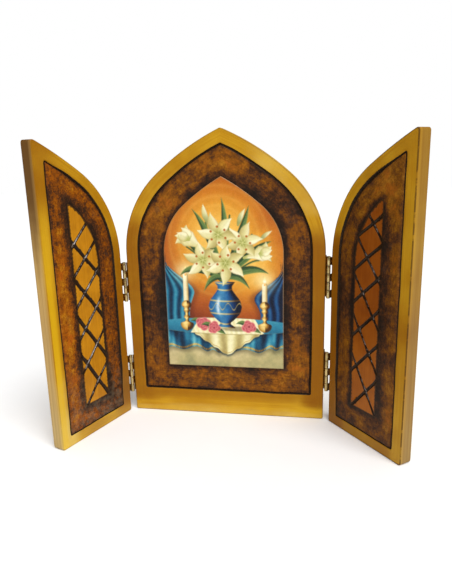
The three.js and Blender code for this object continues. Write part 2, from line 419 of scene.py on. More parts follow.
def arris_stations(radius):
    """(inset, depth from the face) round a rounded arris, from the face outwards."""
    angles = np.linspace(0, math.pi / 2, ARRIS_STEPS + 1)
    return [(radius * (1 - math.sin(t)), radius * (1 - math.cos(t))) for t in angles]


@dataclass
class Carving:
    """What is cut into a board's front: its outline groove and the strokes of its lattice."""

    groove: Inset
    inner: Inset
    strokes: list


GROOVE_CORNER = 0.9
RING_STEP = 1.7
BACK_SPACING = 7
FIELD_SPACING = 1.6
STROKE_REACH = 90
STROKE_MARGIN = 0.25
# Where rings lie on the back, inside its outline, and round the edge, as shares of its width.
BACK_INSETS = (6, 3)
EDGE_SHARES = (0.33, 0.67)


def draw_board(loop_at, carving):
    """The whole board as a surface, with its rings ordered from the back to the front."""
    surface = Surface()
    along = lengths_along(closed(loop_at(Inset(0, 0), SOFT_CORNER)))
    # Each ring's loop, its depth, the zone of the strip that leads to it and its developed place.
    stations = []

    def outer(inset):
        eased = Inset(inset, inset, inset + FREE_EASE)
        return loop_at(eased, max(SOFT_CORNER - 0.8 * inset, 0.5))

    def add_between(start, end, width, zone, shares):
        for share in shares:
            loop = start * (1 - share) + end * share
            stations.append((loop, 0, zone, developed + share * width))

    for inset in BACK_INSETS:
        stations.append((outer(inset), THICKNESS, BACK, 0))
    developed = 0
    for inset, depth in arris_stations(BACK_ARRIS):
        stations.append((outer(inset), THICKNESS - depth, FRAME, developed))
        developed += BACK_ARRIS * math.pi / 2 / ARRIS_STEPS
    edge_width = THICKNESS - ARRIS - BACK_ARRIS
    for share in EDGE_SHARES:
        depth = THICKNESS - BACK_ARRIS - share * edge_width
        stations.append((outer(0), depth, FRAME, developed + share * edge_width))
    developed += edge_width
    for inset, depth in reversed(arris_stations(ARRIS)):
        stations.append((outer(inset), depth, FRAME, developed))
        developed += ARRIS * math.pi / 2 / ARRIS_STEPS

    offsets = cut_offsets(OUTLINE_CUT[0])
    groove_loops = [
        loop_at(carving.groove.moved(d), max(GROOVE_CORNER - 0.45 * d, 0.3)) for d in offsets
    ]
    width = carving.groove.side - ARRIS
    count = max(3, round(width / RING_STEP))
    shares = [k / count for k in range(1, count)]
    add_between(stations[-1][0], groove_loops[0], width, FRAME, shares)
    developed += width
    for offset, loop in zip(offsets, groove_loops):
        stations.append((loop, 0, FRAME if offset <= 0 else BAND, developed + offset))
    inner_loop = loop_at(carving.inner, GROOVE_CORNER)
    width = carving.inner.side - carving.groove.side
    count = round(width / RING_STEP)
    shares = [k / count for k in range(1, count + 1)]
    add_between(groove_loops[-1], inner_loop, width, BAND, shares)

    rings = [surface.add_ring(loop, depth) for loop, depth, _, _ in stations]
    for ring, following, (_, _, _, start), (_, _, zone, end) in zip(
        rings, rings[1:], stations, stations[1:]
    ):
        surface.add_strip(ring, following, zone, along, start, end)
    surface.add_fill(rings[0], BACK, BACK_SPACING)
    surface.add_fill(rings[-1], FIELD, FIELD_SPACING, stroke_lines(carving.strokes, inner_loop))
    return surface


def stroke_lines(strokes, field):
    """The mesh lines along all strokes: the middle of each cut, its walls and its lips."""
    lines = []
    for stroke in strokes:
        direction = stroke.direction()
        normal = np.array([-direction[1], direction[0]])
        for offset in cut_offsets(LATTICE_CUT[0]):
            middle = np.array([stroke.across, stroke.up]) + normal * offset
            ends = (middle - STROKE_REACH * direction, middle + STROKE_REACH * direction)
            lines.append(clipped_to(ends, field, STROKE_MARGIN))
    return [line for line in lines if line is not None]


def stroke_depths(flat, strokes, field):
    """How deep the lattice cuts each point, how far its paint covers it, and how it glints."""
    width, deep = LATTICE_CUT
    depth, paint, glint = np.zeros((3, len(flat)))
    within = inside(flat, field)
    edge = distance_to(flat, closed(field))
    for k, stroke in enumerate(strokes):
        direction = stroke.direction()
        relative = flat - (stroke.across, stroke.up)
        offset = (relative[:, 1] * direction[0] - relative[:, 0] * direction[1]) / (width / 2)
        press = 1 + 0.14 * value_noise(flat, 9, 40 + k)
        cut = deep * press * cut_profile(offset) * smoothstep(0, 0.9, edge)
        cover = 1 - smoothstep(0.95, 1.45, np.abs(offset) / stroke.breadth)
        lit = stroke.glint * (1 - smoothstep(0.35, 0.95, np.abs(offset)))
        lit = lit * smoothstep(0.4, 1.4, edge)
        for total, added in ((depth, cut), (paint, cover), (glint, lit)):
            np.maximum(total, np.where(within, added, 0), out=total)
    return depth, paint, glint


# ------------------------------------------------------------------ from surface to object


def mesh_object(name, vertices, faces, materials, zones=None, smooth=True):
    """A new mesh object. vertices are in metres and zones gives each face's material."""
    mesh = bpy.data.meshes.new(name)
    mesh.from_pydata([tuple(v) for v in vertices], [], [tuple(f) for f in faces])
    for material in materials:
        mesh.materials.append(material)
    if zones is not None:
        mesh.polygons.foreach_set("material_index", zones)
    if smooth:
        mesh.shade_smooth()
    return linked(name, mesh)


def linked(name, data):
    obj = bpy.data.objects.new(name, data)
    bpy.context.scene.collection.objects.link(obj)
    return obj


def dress(piece, body, node=None):
    """Hides the CAD node that a piece stands for, if one is given, and says what the piece rides on.
    """
    if node is not None:
        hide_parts(node)
    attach(piece, body)


def outward(obj):
    """Turns a closed mesh's faces out."""
    work = bmesh.new()
    work.from_mesh(obj.data)
    bmesh.ops.recalc_face_normals(work, faces=work.faces)
    work.to_mesh(obj.data)
    work.free()


def board_object(name, loop_at, carving, placed, look, seed):
    """Carves, shades and places a board. placed maps board points to metres."""
    surface = draw_board(loop_at, carving)
    points = np.array(surface.points)
    flat, drawn_depth = points[:, :2], points[:, 2]
    across, up = flat.T
    on_front = drawn_depth < 1e-6
    groove = closed(loop_at(carving.groove, GROOVE_CORNER))
    inner = loop_at(carving.inner, GROOVE_CORNER)
    from_outline = distance_to(flat, closed(loop_at(Inset(0, 0), SOFT_CORNER)))
    from_rim = distance_to(flat, closed(loop_at(Inset(0, 0, FREE_EASE), SOFT_CORNER)))
    from_groove = distance_to(flat, groove)
    from_inner = distance_to(flat, closed(inner))

    half = OUTLINE_CUT[0] / 2
    press = 1 + 0.12 * value_noise(flat, 11, seed)
    cut = OUTLINE_CUT[1] * press * cut_profile(from_groove / half)
    thin, full = look.groove
    breadth = thin + (full - thin) * smoothstep(13, 30, across) * smoothstep(18, 40, up)
    paint = 1 - smoothstep(0.85, 1.5, from_groove / half / breadth)
    stroke_cut, stroke_paint, glint = stroke_depths(flat, carving.strokes, inner)
    swell = 0.05 * layered_noise(flat, 26, seed + 3, 2) * smoothstep(1.3, 4, from_outline)
    depth = drawn_depth + np.where(on_front, np.maximum(cut, stroke_cut) + swell + 0.05, 0)

    sway = smoothstep(2, 7, from_outline) * on_front
    wander = [
        0.22 * value_noise(flat, 13, first) + 0.08 * value_noise(flat, 4, first + 1)
        for first in (seed + 5, seed + 7)
    ]
    drawn = flat + np.stack(wander, axis=1) * sway[:, None]

    reach = look.ring(flat) * (1 + 0.4 * layered_noise(flat, 24, seed + 9))
    uneven = 1 + 0.5 * layered_noise(flat, 21, seed + 12)
    ringed = look.ringed * smoothstep(1.6, 0.15, from_inner / reach)
    ringed = ringed + 0.35 * np.exp(-from_inner / 0.8)
    lipped = look.lipped * np.exp(-from_groove / 2.1) * uneven
    on_field = inside(flat, inner)
    shade = np.where(on_field, smoothstep(1.3, 0.4, from_inner), np.maximum(ringed, lipped))
    # On a wing, the front strip beside its free edge, where a painted highlight is laid.
    beside_edge = smoothstep(7.5, 4.5, across) * smoothstep(190, 95, up)
    on_edge = smoothstep(2.6, 1.2, across) * smoothstep(0.35, 0.9, drawn_depth)

    materials = board_materials(name, look)
    obj = mesh_object(name, placed(drawn, depth), surface.faces, materials, surface.zones)
    uvs = obj.data.uv_layers.new(name="brushing")
    flat_uvs = np.array([corner for face in surface.uvs for corner in face], np.float32) * MM
    uvs.data.foreach_set("uv", flat_uvs.ravel())
    values = {
        "paint": np.where(on_front, np.maximum(paint, stroke_paint), 0),
        "shade": np.where(inside(flat, groove[:-1]) & on_front, shade, 0),
        "glint": np.where(on_front, glint, 0),
        "arris": from_rim + drawn_depth,
        # A painted highlight on the front beside a wing's free edge.
        "edge_glow": beside_edge * on_front,
        # A brown stain with painted shade on the frame; below zero, painted light.
        "stain_and_shade": look.stain_and_shade(flat),
        # How much denser the band's glaze is, partly painted shade beside the hinges.
        "glaze": look.density(flat),
        "edge": on_edge,
    }
    for key, numbers in values.items():
        attribute = obj.data.attributes.new(key, "FLOAT", "POINT")
        attribute.data.foreach_set("value", np.asarray(numbers, np.float32))
    outward(obj)
    return obj


# ------------------------------------------------------------------ material nodes


class Nodes:
    """A node tree that is written with short calls."""

    def __init__(self, owner):
        owner.use_nodes = True
        self.tree = owner.node_tree
        self.tree.nodes.clear()

    def put(self, socket, value):
        """Links an output to an input, or sets a plain value on it."""
        if isinstance(value, bpy.types.NodeSocket):
            self.tree.links.new(value, socket)
        elif socket.type == "RGBA" and len(value) == 3:
            socket.default_value = (*value, 1)
        else:
            socket.default_value = value

    def node(self, kind, inputs=(), **settings):
        made = self.tree.nodes.new(kind)
        for name, value in settings.items():
            setattr(made, name, value)
        for key, value in dict(inputs).items():
            self.put(made.inputs[key], value)
        return made


class Finish(Nodes):
    """A material. Where a texture is given no vector, it lies over the object's own points."""

    def __init__(self, name):
        self.material = bpy.data.materials.new(name)
        super().__init__(self.material)
        self.shader = self.node("ShaderNodeBsdfPrincipled")
        self.node("ShaderNodeOutputMaterial", {"Surface": self.shader.outputs["BSDF"]})
        self.place = self.node("ShaderNodeTexCoord").outputs["Object"]

    def set(self, **values):
        for name, value in values.items():
            self.put(self.shader.inputs[name.replace("_", " ")], value)
        return self.material

    def brushing(self):
        return self.node("ShaderNodeUVMap", uv_map="brushing").outputs["UV"]

    def value(self, name, output="Fac"):
        return self.node("ShaderNodeAttribute", attribute_name=name).outputs[output]

    def height(self):
        return self.node("ShaderNodeSeparateXYZ", {"Vector": self.place}).outputs["Z"]

    def noise(self, scale, detail=4, roughness=0.55, distortion=0, over=None):
        inputs = {"Vector": self.place if over is None else over, "Scale": scale, "Detail": detail}
        inputs.update({"Roughness": roughness, "Distortion": distortion})
        return self.node("ShaderNodeTexNoise", inputs).outputs["Fac"]

    def drawn_out(self, scale, *noise, over=None):
        """Noise that is scaled differently along each axis."""
        inputs = {"Vector": self.place if over is None else over, "Scale": scale}
        over = self.node("ShaderNodeMapping", inputs).outputs["Vector"]
        return self.noise(1, *noise, over=over)

    def math(self, operation, a, b=0, c=0):
        return self.node("ShaderNodeMath", {0: a, 1: b, 2: c}, operation=operation).outputs[0]

    def plus(self, base, value, weight):
        return self.math("MULTIPLY_ADD", value, weight, base)

    def times(self, a, b):
        return self.math("MULTIPLY", a, b)

    def centred(self, noise):
        return self.math("SUBTRACT", noise, 0.5)

    def spread(self, value, low, high, to_low=0, to_high=1):
        """Maps low..high to to_low..to_high, eased and clamped."""
        inputs = {"Value": value, 1: low, 2: high, 3: to_low, 4: to_high}
        made = self.node("ShaderNodeMapRange", inputs, interpolation_type="SMOOTHSTEP")
        return made.outputs["Result"]

    def ramp(self, value, stops):
        made = self.node("ShaderNodeValToRGB", {"Fac": value})
        elements = made.color_ramp.elements
        while len(elements) < len(stops):
            elements.new(0.5)
        for element, (position, colour) in zip(elements, stops):
            element.position = position
            element.color = (*colour, 1)
        return made.outputs["Color"]

    def mix(self, share, a, b, blend="MIX"):
        inputs = {"Factor": share, 6: a, 7: b}
        return self.node("ShaderNodeMix", data_type="RGBA", blend_type=blend, inputs=inputs).outputs[2]

    def bump(self, height, distance, strength=1, normal=None):
        inputs = {"Height": height, "Distance": distance, "Strength": strength}
        if normal is not None:
            inputs["Normal"] = normal
        return self.node("ShaderNodeBump", inputs).outputs["Normal"]


# ------------------------------------------------------------------ materials

AMBER = ((0.44, 0.205, 0.007), (0.63, 0.355, 0.018))
GROOVE_PAINT = ((0.35, (0.014, 0.008, 0.005)), (0.75, (0.042, 0.022, 0.009)))
FRAME_FOOT_SHEEN = (0.35, 0.45, 0.25)
BAND_FOOT_SHEEN = (0.23, 0.18, 0.115)
ARRIS_DARKENING = (0.060, 0.026, 0.008)
SPECK = (0.16, 0.07, 0.008)
STAIN_AND_SHADE = (0.29, 0.105, 0.004)
DEEP_STAIN_AND_SHADE = (0.115, 0.034, 0.003)
GLOW = (0.80, 0.49, 0.010)
EDGE_BROWN = (0.115, 0.050, 0.010)
PAINTED_LIGHT = (0.78, 0.56, 0.13)
BARE_WOOD = ((0.40, 0.25, 0.090), (0.56, 0.37, 0.140))
GLAZE_STOPS = (
    (0.64, (0.075, 0.027, 0.010)),
    (0.80, (0.033, 0.016, 0.009)),
    (0.98, (0.018, 0.011, 0.008)),
)
LEAST_GLAZE = 0.38
BAND_BLOOM_AND_SHEEN = (0.085, 0.050, 0.034)
FIELD_BROWN = (0.10, 0.005, 0.001)
FIELD_RIM = (0.034, 0.017, 0.007)
BRASS = ((0.60, 0.47, 0.21), (0.40, 0.30, 0.12))
PAINTED_GLINT = (0.36, 0.29, 0.25)


def carved(finish, base, roughness, normal, specular, coat_roughness):
    """Finishes a material with the dark paint of the carved lines, slightly ragged at its edge.
    Where the paint glints it is glossier, and a painted highlight makes it paler."""
    ragged = finish.centred(finish.noise(1900, 3))
    cover = finish.spread(finish.plus(finish.value("paint"), ragged, 0.7), 0.38, 0.62)
    ink = finish.ramp(finish.noise(700), GROOVE_PAINT)
    glinting = finish.value("glint")
    glint_patches = finish.plus(finish.noise(330, 3), glinting, 0.2)
    glint = finish.times(finish.spread(glint_patches, 0.54, 0.74), finish.spread(glinting, 0.1, 0.4))
    # Painted highlight: glinting paint drawn towards pale grey.
    ink = finish.mix(finish.times(glint, 0.72), ink, PAINTED_GLINT)
    return finish.set(
        Base_Color=finish.mix(cover, base, ink),
        Roughness=finish.plus(roughness, cover, -0.12),
        Coat_Weight=finish.plus(0.05, finish.times(cover, glint), 0.7),
        Normal=normal,
        Specular_IOR_Level=specular,
        Coat_Roughness=coat_roughness,
    )


def lacquer(name, worn_and_lit):
    """Amber lacquer brushed along the frame, deeper or paler in places under a brown stain mixed with
    painted shade and painted light. Its free edge shows raw or browned wood, with a painted highlight
    beside it; a painted sheen lies over the foot, and a broken thin dark line runs along each arris."""
    finish = Finish(name)
    streaks = finish.drawn_out((14, 620, 1), 5, 0.6, over=finish.brushing())
    streaks = finish.centred(streaks)
    tone = finish.plus(finish.noise(26, 2), streaks, 0.85)
    base = finish.mix(finish.spread(tone, 0.28, 0.80), *AMBER)
    cloudy = finish.centred(finish.noise(48, 3))
    stained_and_shaded = finish.plus(finish.value("stain_and_shade"), cloudy, 0.5)
    stained_and_shaded = finish.plus(stained_and_shaded, streaks, 0.55)
    # A brown stain and painted shade darken the lacquer; below zero, painted light makes it paler.
    for low, high, colour in ((0.05, 1, STAIN_AND_SHADE), (0.9, 1.9, DEEP_STAIN_AND_SHADE), (-0.1, -1, PAINTED_LIGHT)):
        base = finish.mix(finish.spread(stained_and_shaded, low, high), base, colour)
    # Painted highlight: the front beside the free edge drawn towards bright yellow.
    base = finish.mix(finish.times(finish.value("edge_glow"), worn_and_lit.glow), base, GLOW)
    up = finish.plus(finish.height(), cloudy, 0.05)
    edge = finish.value("edge")
    wood = finish.mix(finish.spread(streaks, -0.2, 0.2), *BARE_WOOD)
    bared = finish.spread(up, 0, 0.19, *worn_and_lit.bared)
    browned = finish.spread(up, 0.105, 0.185, *worn_and_lit.browned)
    base = finish.mix(finish.times(bared, edge), base, wood)
    base = finish.mix(finish.times(browned, edge), base, EDGE_BROWN)
    # Painted sheen: the foot of the frame drawn towards a pale grey green.
    base = finish.mix(finish.spread(up, 0, 0.06, worn_and_lit.foot_sheen, 0), base, FRAME_FOOT_SHEEN)
    specks = finish.spread(finish.noise(900, 2), 0.70, 0.80, 0, 0.35)
    base = finish.mix(specks, base, SPECK)
    # A thin dark line along each arris, broken in places.
    broken = finish.spread(finish.noise(240), 0.34, 0.46, 0.45, 1)
    line = finish.spread(finish.value("arris"), 0.50, 0.85, worn_and_lit.line, 0)
    base = finish.mix(finish.times(line, broken), base, ARRIS_DARKENING)
    normal = finish.bump(finish.noise(85, 2), 0.00025, 0.5)
    normal = finish.bump(streaks, 0.00004, 0.5, normal)
    return carved(finish, base, 0.38, normal, 0.05, 0.14)


def antiqued(name, bright, reddish, middle, coarse, sheen_at_foot):
    """The antiqued band: amber under dark glaze dabbed and dragged along the frame, heavier
    beside grooves and field. coarse weighs its broad dabs against its fine stipple, and the last
    argument is how far a pale painted sheen lies over its foot."""
    finish = Finish(name)
    brushing = finish.brushing()
    layers = (
        (finish.noise(34, 2, 0.5), 0.80 * coarse),
        (finish.noise(115, 4, 0.6, 0.5), 1.05 * coarse),
        (finish.noise(380, 4, 0.6, 0.5), 0.95 - 0.4 * coarse),
        (finish.drawn_out((120, 620, 1), 4, 0.55, over=brushing), 0.45),
        (finish.noise(1300, 2, 0.6), 1.1 - 0.75 * coarse),
    )
    dark = finish.plus(LEAST_GLAZE, finish.value("shade"), 0.46)
    # The glaze value darkens the band, partly as painted shade where the wings shade it.
    dark = finish.math("ADD", dark, finish.value("glaze"))
    for layer, weight in layers:
        dark = finish.plus(dark, finish.centred(layer), weight)
    plain, warm = (
        finish.ramp(dark, [(0.12, first), (0.43, middle), *GLAZE_STOPS]) for first in (bright, reddish)
    )
    base = finish.mix(finish.spread(finish.noise(90, 4, 0.6), 0.42, 0.60), plain, warm)
    # Greyish patches: lacquer bloom together with painted sheen.
    bloom_and_sheen = finish.spread(finish.noise(120, 5, 0.6), 0.58, 0.74, 0, 0.25)
    base = finish.mix(bloom_and_sheen, base, BAND_BLOOM_AND_SHEEN)
    patches = finish.spread(finish.noise(260, 4, 0.6), 0.38, 0.66)
    # Painted sheen: pale patches over the band's foot.
    sheened_foot = finish.times(patches, finish.spread(finish.height(), 0, 0.07, sheen_at_foot, 0))
    base = finish.mix(sheened_foot, base, BAND_FOOT_SHEEN)
    gloss = finish.spread(finish.noise(210), 0.35, 0.65, 0.26, 0.46)
    normal = finish.bump(finish.noise(520, 5, 0.6), 0.00018, 0.6)
    normal = finish.bump(dark, 0.00012, 0.5, normal)
    return carved(finish, base, gloss, normal, 0.04, 0.2)


def field_lacquer(name, deep, light, browned):
    """The plain amber of a lattice field, with fine upright grain and a dark rim. browned is how
    far its upper part is darkened with painted shade."""
    finish = Finish(name)
    grain = finish.drawn_out((900, 900, 45), 4, 0.6)
    tone = finish.plus(finish.noise(60, 2), finish.centred(grain), 0.7)
    base = finish.mix(finish.spread(tone, 0.30, 0.72), deep, light)
    # Painted shade: the upper part of the field darkened towards deep brown.
    base = finish.mix(finish.spread(finish.height(), 0.045, 0.095, 0, browned), base, FIELD_BROWN)
    rim = finish.plus(finish.value("shade"), finish.centred(finish.noise(500, 3)), 0.4)
    base = finish.mix(finish.spread(rim, 0.35, 0.75, 0, 0.92), base, FIELD_RIM)
    return carved(finish, base, 0.36, finish.bump(grain, 0.00004, 0.5), 0.10, 0.12)


def back_wood(name):
    """The plain lacquered back, with broad upright grain."""
    finish = Finish(name)
    grain = finish.drawn_out((230, 230, 9), 6, 0.62, 0.6)
    pores = finish.drawn_out((1500, 1500, 60), 3)
    tone = finish.plus(grain, finish.centred(pores), 0.35)
    return finish.set(
        Base_Color=finish.mix(finish.spread(tone, 0.30, 0.72), *AMBER),
        Roughness=finish.spread(grain, 0.3, 0.7, 0.36, 0.5),
        Normal=finish.bump(pores, 0.00006, 0.5),
        Specular_IOR_Level=0.3,
        Coat_Weight=0.15,
        Coat_Roughness=0.22,
    )


def brass():
    finish = Finish("brass")
    cloudy = finish.noise(150, 3)
    brushed = finish.drawn_out((500, 500, 3500), 3)
    return finish.set(
        Base_Color=finish.mix(finish.spread(cloudy, 0.35, 0.7), *BRASS),
        Roughness=finish.spread(finish.math("ADD", cloudy, brushed), 0.75, 1.3, 0.24, 0.42),
        Normal=finish.bump(brushed, 0.00003, 0.4),
        Metallic=1,
    )


def picture_finish():
    """A varnished print on pale card. The colours are painted on the mesh."""
    finish = Finish("varnished_print")
    fibre = finish.noise(1600, 4, 0.6)
    tint = finish.ramp(fibre, [(0.3, (0.94, 0.94, 0.94)), (0.7, (1, 1, 1))])
    return finish.set(
        Base_Color=finish.mix(1, finish.value("painting", "Color"), tint, "MULTIPLY"),
        Roughness=finish.spread(fibre, 0.3, 0.7, 0.22, 0.32),
        Normal=finish.bump(finish.noise(45, 2), 0.0003, 0.4),
        Specular_IOR_Level=0.16,
        Coat_Weight=0.12,
        Coat_Roughness=0.1,
    )


# ------------------------------------------------------------------ the boards


@dataclass
class WearAndLight:
    """How far raw wood shows on a free edge and how brown it is, each at its foot and its tip,
    how bright the painted highlight on the lacquer beside it is, how dark the line along every arris
    is and how strong the painted sheen on the frame's foot is."""

    bared: tuple
    browned: tuple
    glow: float
    line: float
    foot_sheen: float


def board_materials(name, look):
    return [
        lacquer(f"{name}_lacquer", look.wear_and_light),
        antiqued(f"{name}_antiqued", *look.band),
        field_lacquer(f"{name}_field", *look.field),
        back_wood(f"{name}_back"),
    ]


def on_centre(flat, depth):
    return np.stack([flat[:, 0], depth - THICKNESS / 2, flat[:, 1]], axis=1) * MM


def joint_of(hand):
    return next(j for j in frame["joints"] if j["name"] == f"{hand}_wing_hinge")


def wing_matrix(hand):
    """A wing's resting place: it closes when its joint is at its upper limit."""
    side = WINGS[hand][0]
    joint = joint_of(hand)
    fold = math.pi - math.radians(joint["range_deg"][1])
    return Matrix.Translation(joint["pos_m"]) @ Matrix.Rotation(-side * fold, 4, "Z")


def moved(points, matrix):
    """Points in metres, taken through a matrix."""
    matrix = np.array(matrix)
    return points @ matrix[:3, :3].T + matrix[:3, 3]


def on_wing(hand):
    """Maps a wing's board points to metres, by way of a frame on the foot of its hinge axis."""
    side = WINGS[hand][0]
    resting = wing_matrix(hand)

    def placed(flat, depth):
        across = side * (PIN_OUTBOARD + WING_ARCH.half_width - flat[:, 0])
        local = np.stack([across, depth + PIN_FORWARD, flat[:, 1]], axis=1) * MM
        return moved(local, resting)

    return placed


@dataclass
class Look:
    """The colouring of a board. band and field are what antiqued and field_lacquer are given.
    ring and the two fields after it give, at board points, how wide the dark ring round the field
    is, how far a brown stain with painted shade darkens the frame (below zero, painted light makes it
    paler), and how much denser the band's glaze is, partly as painted shade. ringed and lipped are
    how dark the ring and the groove's lip are, and groove is how broadly the groove is painted at
    its narrowest and its broadest."""

    band: tuple
    field: tuple
    ring: object
    stain_and_shade: object
    density: object
    wear_and_light: WearAndLight
    ringed: float
    lipped: float
    groove: tuple


def centre_stain_and_shade(flat):
    """Brown stiles, a brown stain with painted shade where the wings shade them, with a lighter rail
    and arch in painted light, lightest on the right of the arch where the light falls.
    """
    across, up = flat.T
    stile = (0.84 + 0.05 * np.sign(across)) * smoothstep(40, 68, np.abs(across))
    stile *= smoothstep(170, 136, up + 0.09 * across) * smoothstep(1, 11, up)
    rail = 0.62 * smoothstep(4, 16, up) * smoothstep(60, 30, up)
    lit_rail = 0.55 * smoothstep(15, 2, up)
    lit = 0.48 * smoothstep(0, 30, across) * smoothstep(138, 165, up)
    dull = 0.22 * smoothstep(0, -20, across) * smoothstep(135, 160, up)
    return np.maximum(np.maximum(stile, rail), dull + 0.12) - lit - lit_rail


# A denser band glaze, partly painted shade: darkest in the middle of the stiles, where the wings shade
# them.
def centre_glaze_and_shade(flat):
    across, up = flat.T
    stile = smoothstep(38, 52, np.abs(across))
    bottom = 0.06 * smoothstep(40, 30, up)
    right = 0.13 * smoothstep(0, 30, across) * smoothstep(120, 140, up)
    denser_right = 0.06 * smoothstep(46, 54, across) * around(up, 45, 12)
    clearer_right = 0.08 * smoothstep(46, 54, across) * around(up, 70, 12)
    apex = 0.07 * smoothstep(22, 8, np.abs(across)) * smoothstep(178, 186, up)
    stile = stile * (0.23 * around(up, 96, 34) - 0.01)
    return stile + bottom + right + denser_right - clearer_right + apex


def centre_ring(flat):
    return 5.6 + 1.4 * smoothstep(140, 175, flat[:, 1])


def left_stain_and_shade(flat):
    """Orange brown at the hinges, a stain with painted shade where the centre panel shades the wing,
    and pale at the foot of the free edge with painted light.
    """
    from_free, up = flat.T
    hinge_side = 0.86 * smoothstep(46, 66, from_free) * smoothstep(178, 112, up)
    shaded_foot = 0.45 * hinge_side * around(up, 22, 14)
    lit_foot = 0.45 * hinge_side * smoothstep(12, 3, up)
    lit_free_foot = 0.85 * smoothstep(85, 5, up) * smoothstep(26, 9, from_free)
    dull_tip = 0.20 + 0.44 * smoothstep(145, 195, up) * smoothstep(30, 6, from_free)
    return np.maximum(hinge_side + shaded_foot - lit_foot, dull_tip) - lit_free_foot


# A denser band glaze, partly painted shade beside the hinges.
def left_glaze_and_shade(flat):
    from_free, up = flat.T
    hinge_side = 0.14 * smoothstep(34, 56, from_free) * smoothstep(165, 140, up)
    tip = 0.06 * smoothstep(140, 160, up)
    free_side = -0.06 * smoothstep(30, 16, from_free) * smoothstep(130, 90, up)
    return np.maximum(hinge_side, tip) + free_side + 0.14 * smoothstep(26, 14, up) + 0.02


def left_ring(flat):
    """Broad at the top and on the free side, and hardly there beside the hinges."""
    from_free, up = flat.T
    beside_hinges = smoothstep(34, 50, from_free) * smoothstep(30, 50, up)
    top = 1.6 * smoothstep(150, 172, up)
    return 6 + top - 4.2 * beside_hinges * smoothstep(150, 130, up)


# A brown stain with painted shade: darkest beside the hinges, where the centre panel shades the wing,
# and darker over the rail and the middle of the free side.
def right_stain_and_shade(flat):
    from_free, up = flat.T
    hinge_side = 1.20 * smoothstep(46, 66, from_free) * smoothstep(156, 132, up)
    rail = 0.62 * smoothstep(16, 7, up) * smoothstep(4, 12, from_free)
    free_side = 0.30 + 0.35 * around(up, 88, 16)
    return np.maximum(np.maximum(hinge_side, free_side), rail)


# A denser band glaze, partly painted shade beside the hinges.
def right_glaze_and_shade(flat):
    from_free, up = flat.T
    beside_hinges = smoothstep(36, 54, from_free)
    hinge_side = beside_hinges * (0.11 + 0.18 * around(up, 98, 30))
    free_side = 0.06 * smoothstep(40, 24, from_free) * around(up, 78, 26)
    return hinge_side + free_side + 0.10 * smoothstep(26, 14, up)


def right_ring(flat):
    """Broad on the free side, and narrow round the arch."""
    from_free, up = flat.T
    return 3.2 + 5.2 * smoothstep(32, 24, from_free) * smoothstep(165, 140, up)


GOLDEN_FIELD = ((0.42, 0.165, 0.006), (0.56, 0.235, 0.009), 0)
LOOKS = {
    "centre": Look(
        band=((0.42, 0.170, 0.012), (0.38, 0.110, 0.010), (0.20, 0.066, 0.006), 1, 0),
        field=GOLDEN_FIELD,
        ring=centre_ring,
        stain_and_shade=centre_stain_and_shade,
        density=centre_glaze_and_shade,
        wear_and_light=WearAndLight((0, 0), (0, 0), glow=0, line=0.4, foot_sheen=0),
        ringed=0.95,
        lipped=0.65,
        groove=(0.9, 0.9),
    ),
    "left": Look(
        band=((0.50, 0.200, 0.010), (0.43, 0.105, 0.007), (0.25, 0.066, 0.004), 0.6, 0.34),
        field=GOLDEN_FIELD,
        ring=left_ring,
        stain_and_shade=left_stain_and_shade,
        density=left_glaze_and_shade,
        wear_and_light=WearAndLight((0.95, 0.75), (0, 0.95), glow=0.55, line=0.2, foot_sheen=0.08),
        ringed=0.78,
        lipped=0.45,
        groove=(0.5, 1.05),
    ),
    "right": Look(
        # The right wing faces away from the light: its field is a darker copy of the golden field, as
        # painted shade, and its band is darker too, partly painted shade.
        band=((0.36, 0.150, 0.012), (0.32, 0.095, 0.008), (0.17, 0.060, 0.006), 0.8, 0.05),
        field=((0.29, 0.078, 0.004), (0.37, 0.108, 0.006), 0.39),
        ring=right_ring,
        stain_and_shade=right_stain_and_shade,
        density=right_glaze_and_shade,
        wear_and_light=WearAndLight((0.70, 0.20), (0.50, 0.50), glow=0, line=0.8, foot_sheen=0.05),
        ringed=0.90,
        lipped=0.40,
        groove=(0.6, 1.1),
    ),
}


def make_centre():
    carving = Carving(CENTRE_GROOVE, PRINT_INSET.moved(1.5), [])
    board = board_object("centre_board", centre_loop, carving, on_centre, LOOKS["centre"], 11)
    dress(board, "centre", "centre_panel")


def make_wing(hand, seed):
    carving = Carving(WING_GROOVE, LATTICE_FIELD, lattice_strokes(*WINGS[hand]))
    board = board_object(f"{hand}_wing_board", wing_loop, carving, on_wing(hand), LOOKS[hand], seed)
    dress(board, f"{hand}_wing", f"{hand}_wing_panel")


# ------------------------------------------------------------------ painting
#
# The picture is a generic still life. Its points are (across, up) in millimetres, from the middle
# of the picture's lower edge, and colours are 0 to 255 until they are stored.


def srgb(colours):
    """Screen colours of 0 to 255 as linear light."""
    c = np.clip(np.asarray(colours, float) / 255, 0, 1)
    return np.where(c <= 0.04045, c / 12.92, ((c + 0.055) / 1.055) ** 2.4)


def gradient(value, stops):
    """Colours along a list of (position, colour)."""
    positions, colours = zip(*stops)
    return np.stack([np.interp(value, positions, channel) for channel in zip(*colours)], axis=-1)


def tinted(colours, other, share):
    """Colours drawn towards other ones, as far as share says at each point."""
    return colours + (np.asarray(other, float) - colours) * share[:, None]


def above(edge, value, soft=0.4):
    """1 above an edge and 0 below it, with a soft change between."""
    return smoothstep(edge - soft, edge + soft, value)


def bezier(start, control, end, steps=14):
    t = np.linspace(0, 1, steps + 1)[:, None]
    start, control, end = (np.asarray(p, float) for p in (start, control, end))
    return (1 - t) ** 2 * start + 2 * t * (1 - t) * control + t * t * end


def turned(degrees, length=1):
    angle = math.radians(degrees)
    return length * np.array([math.cos(angle), math.sin(angle)])


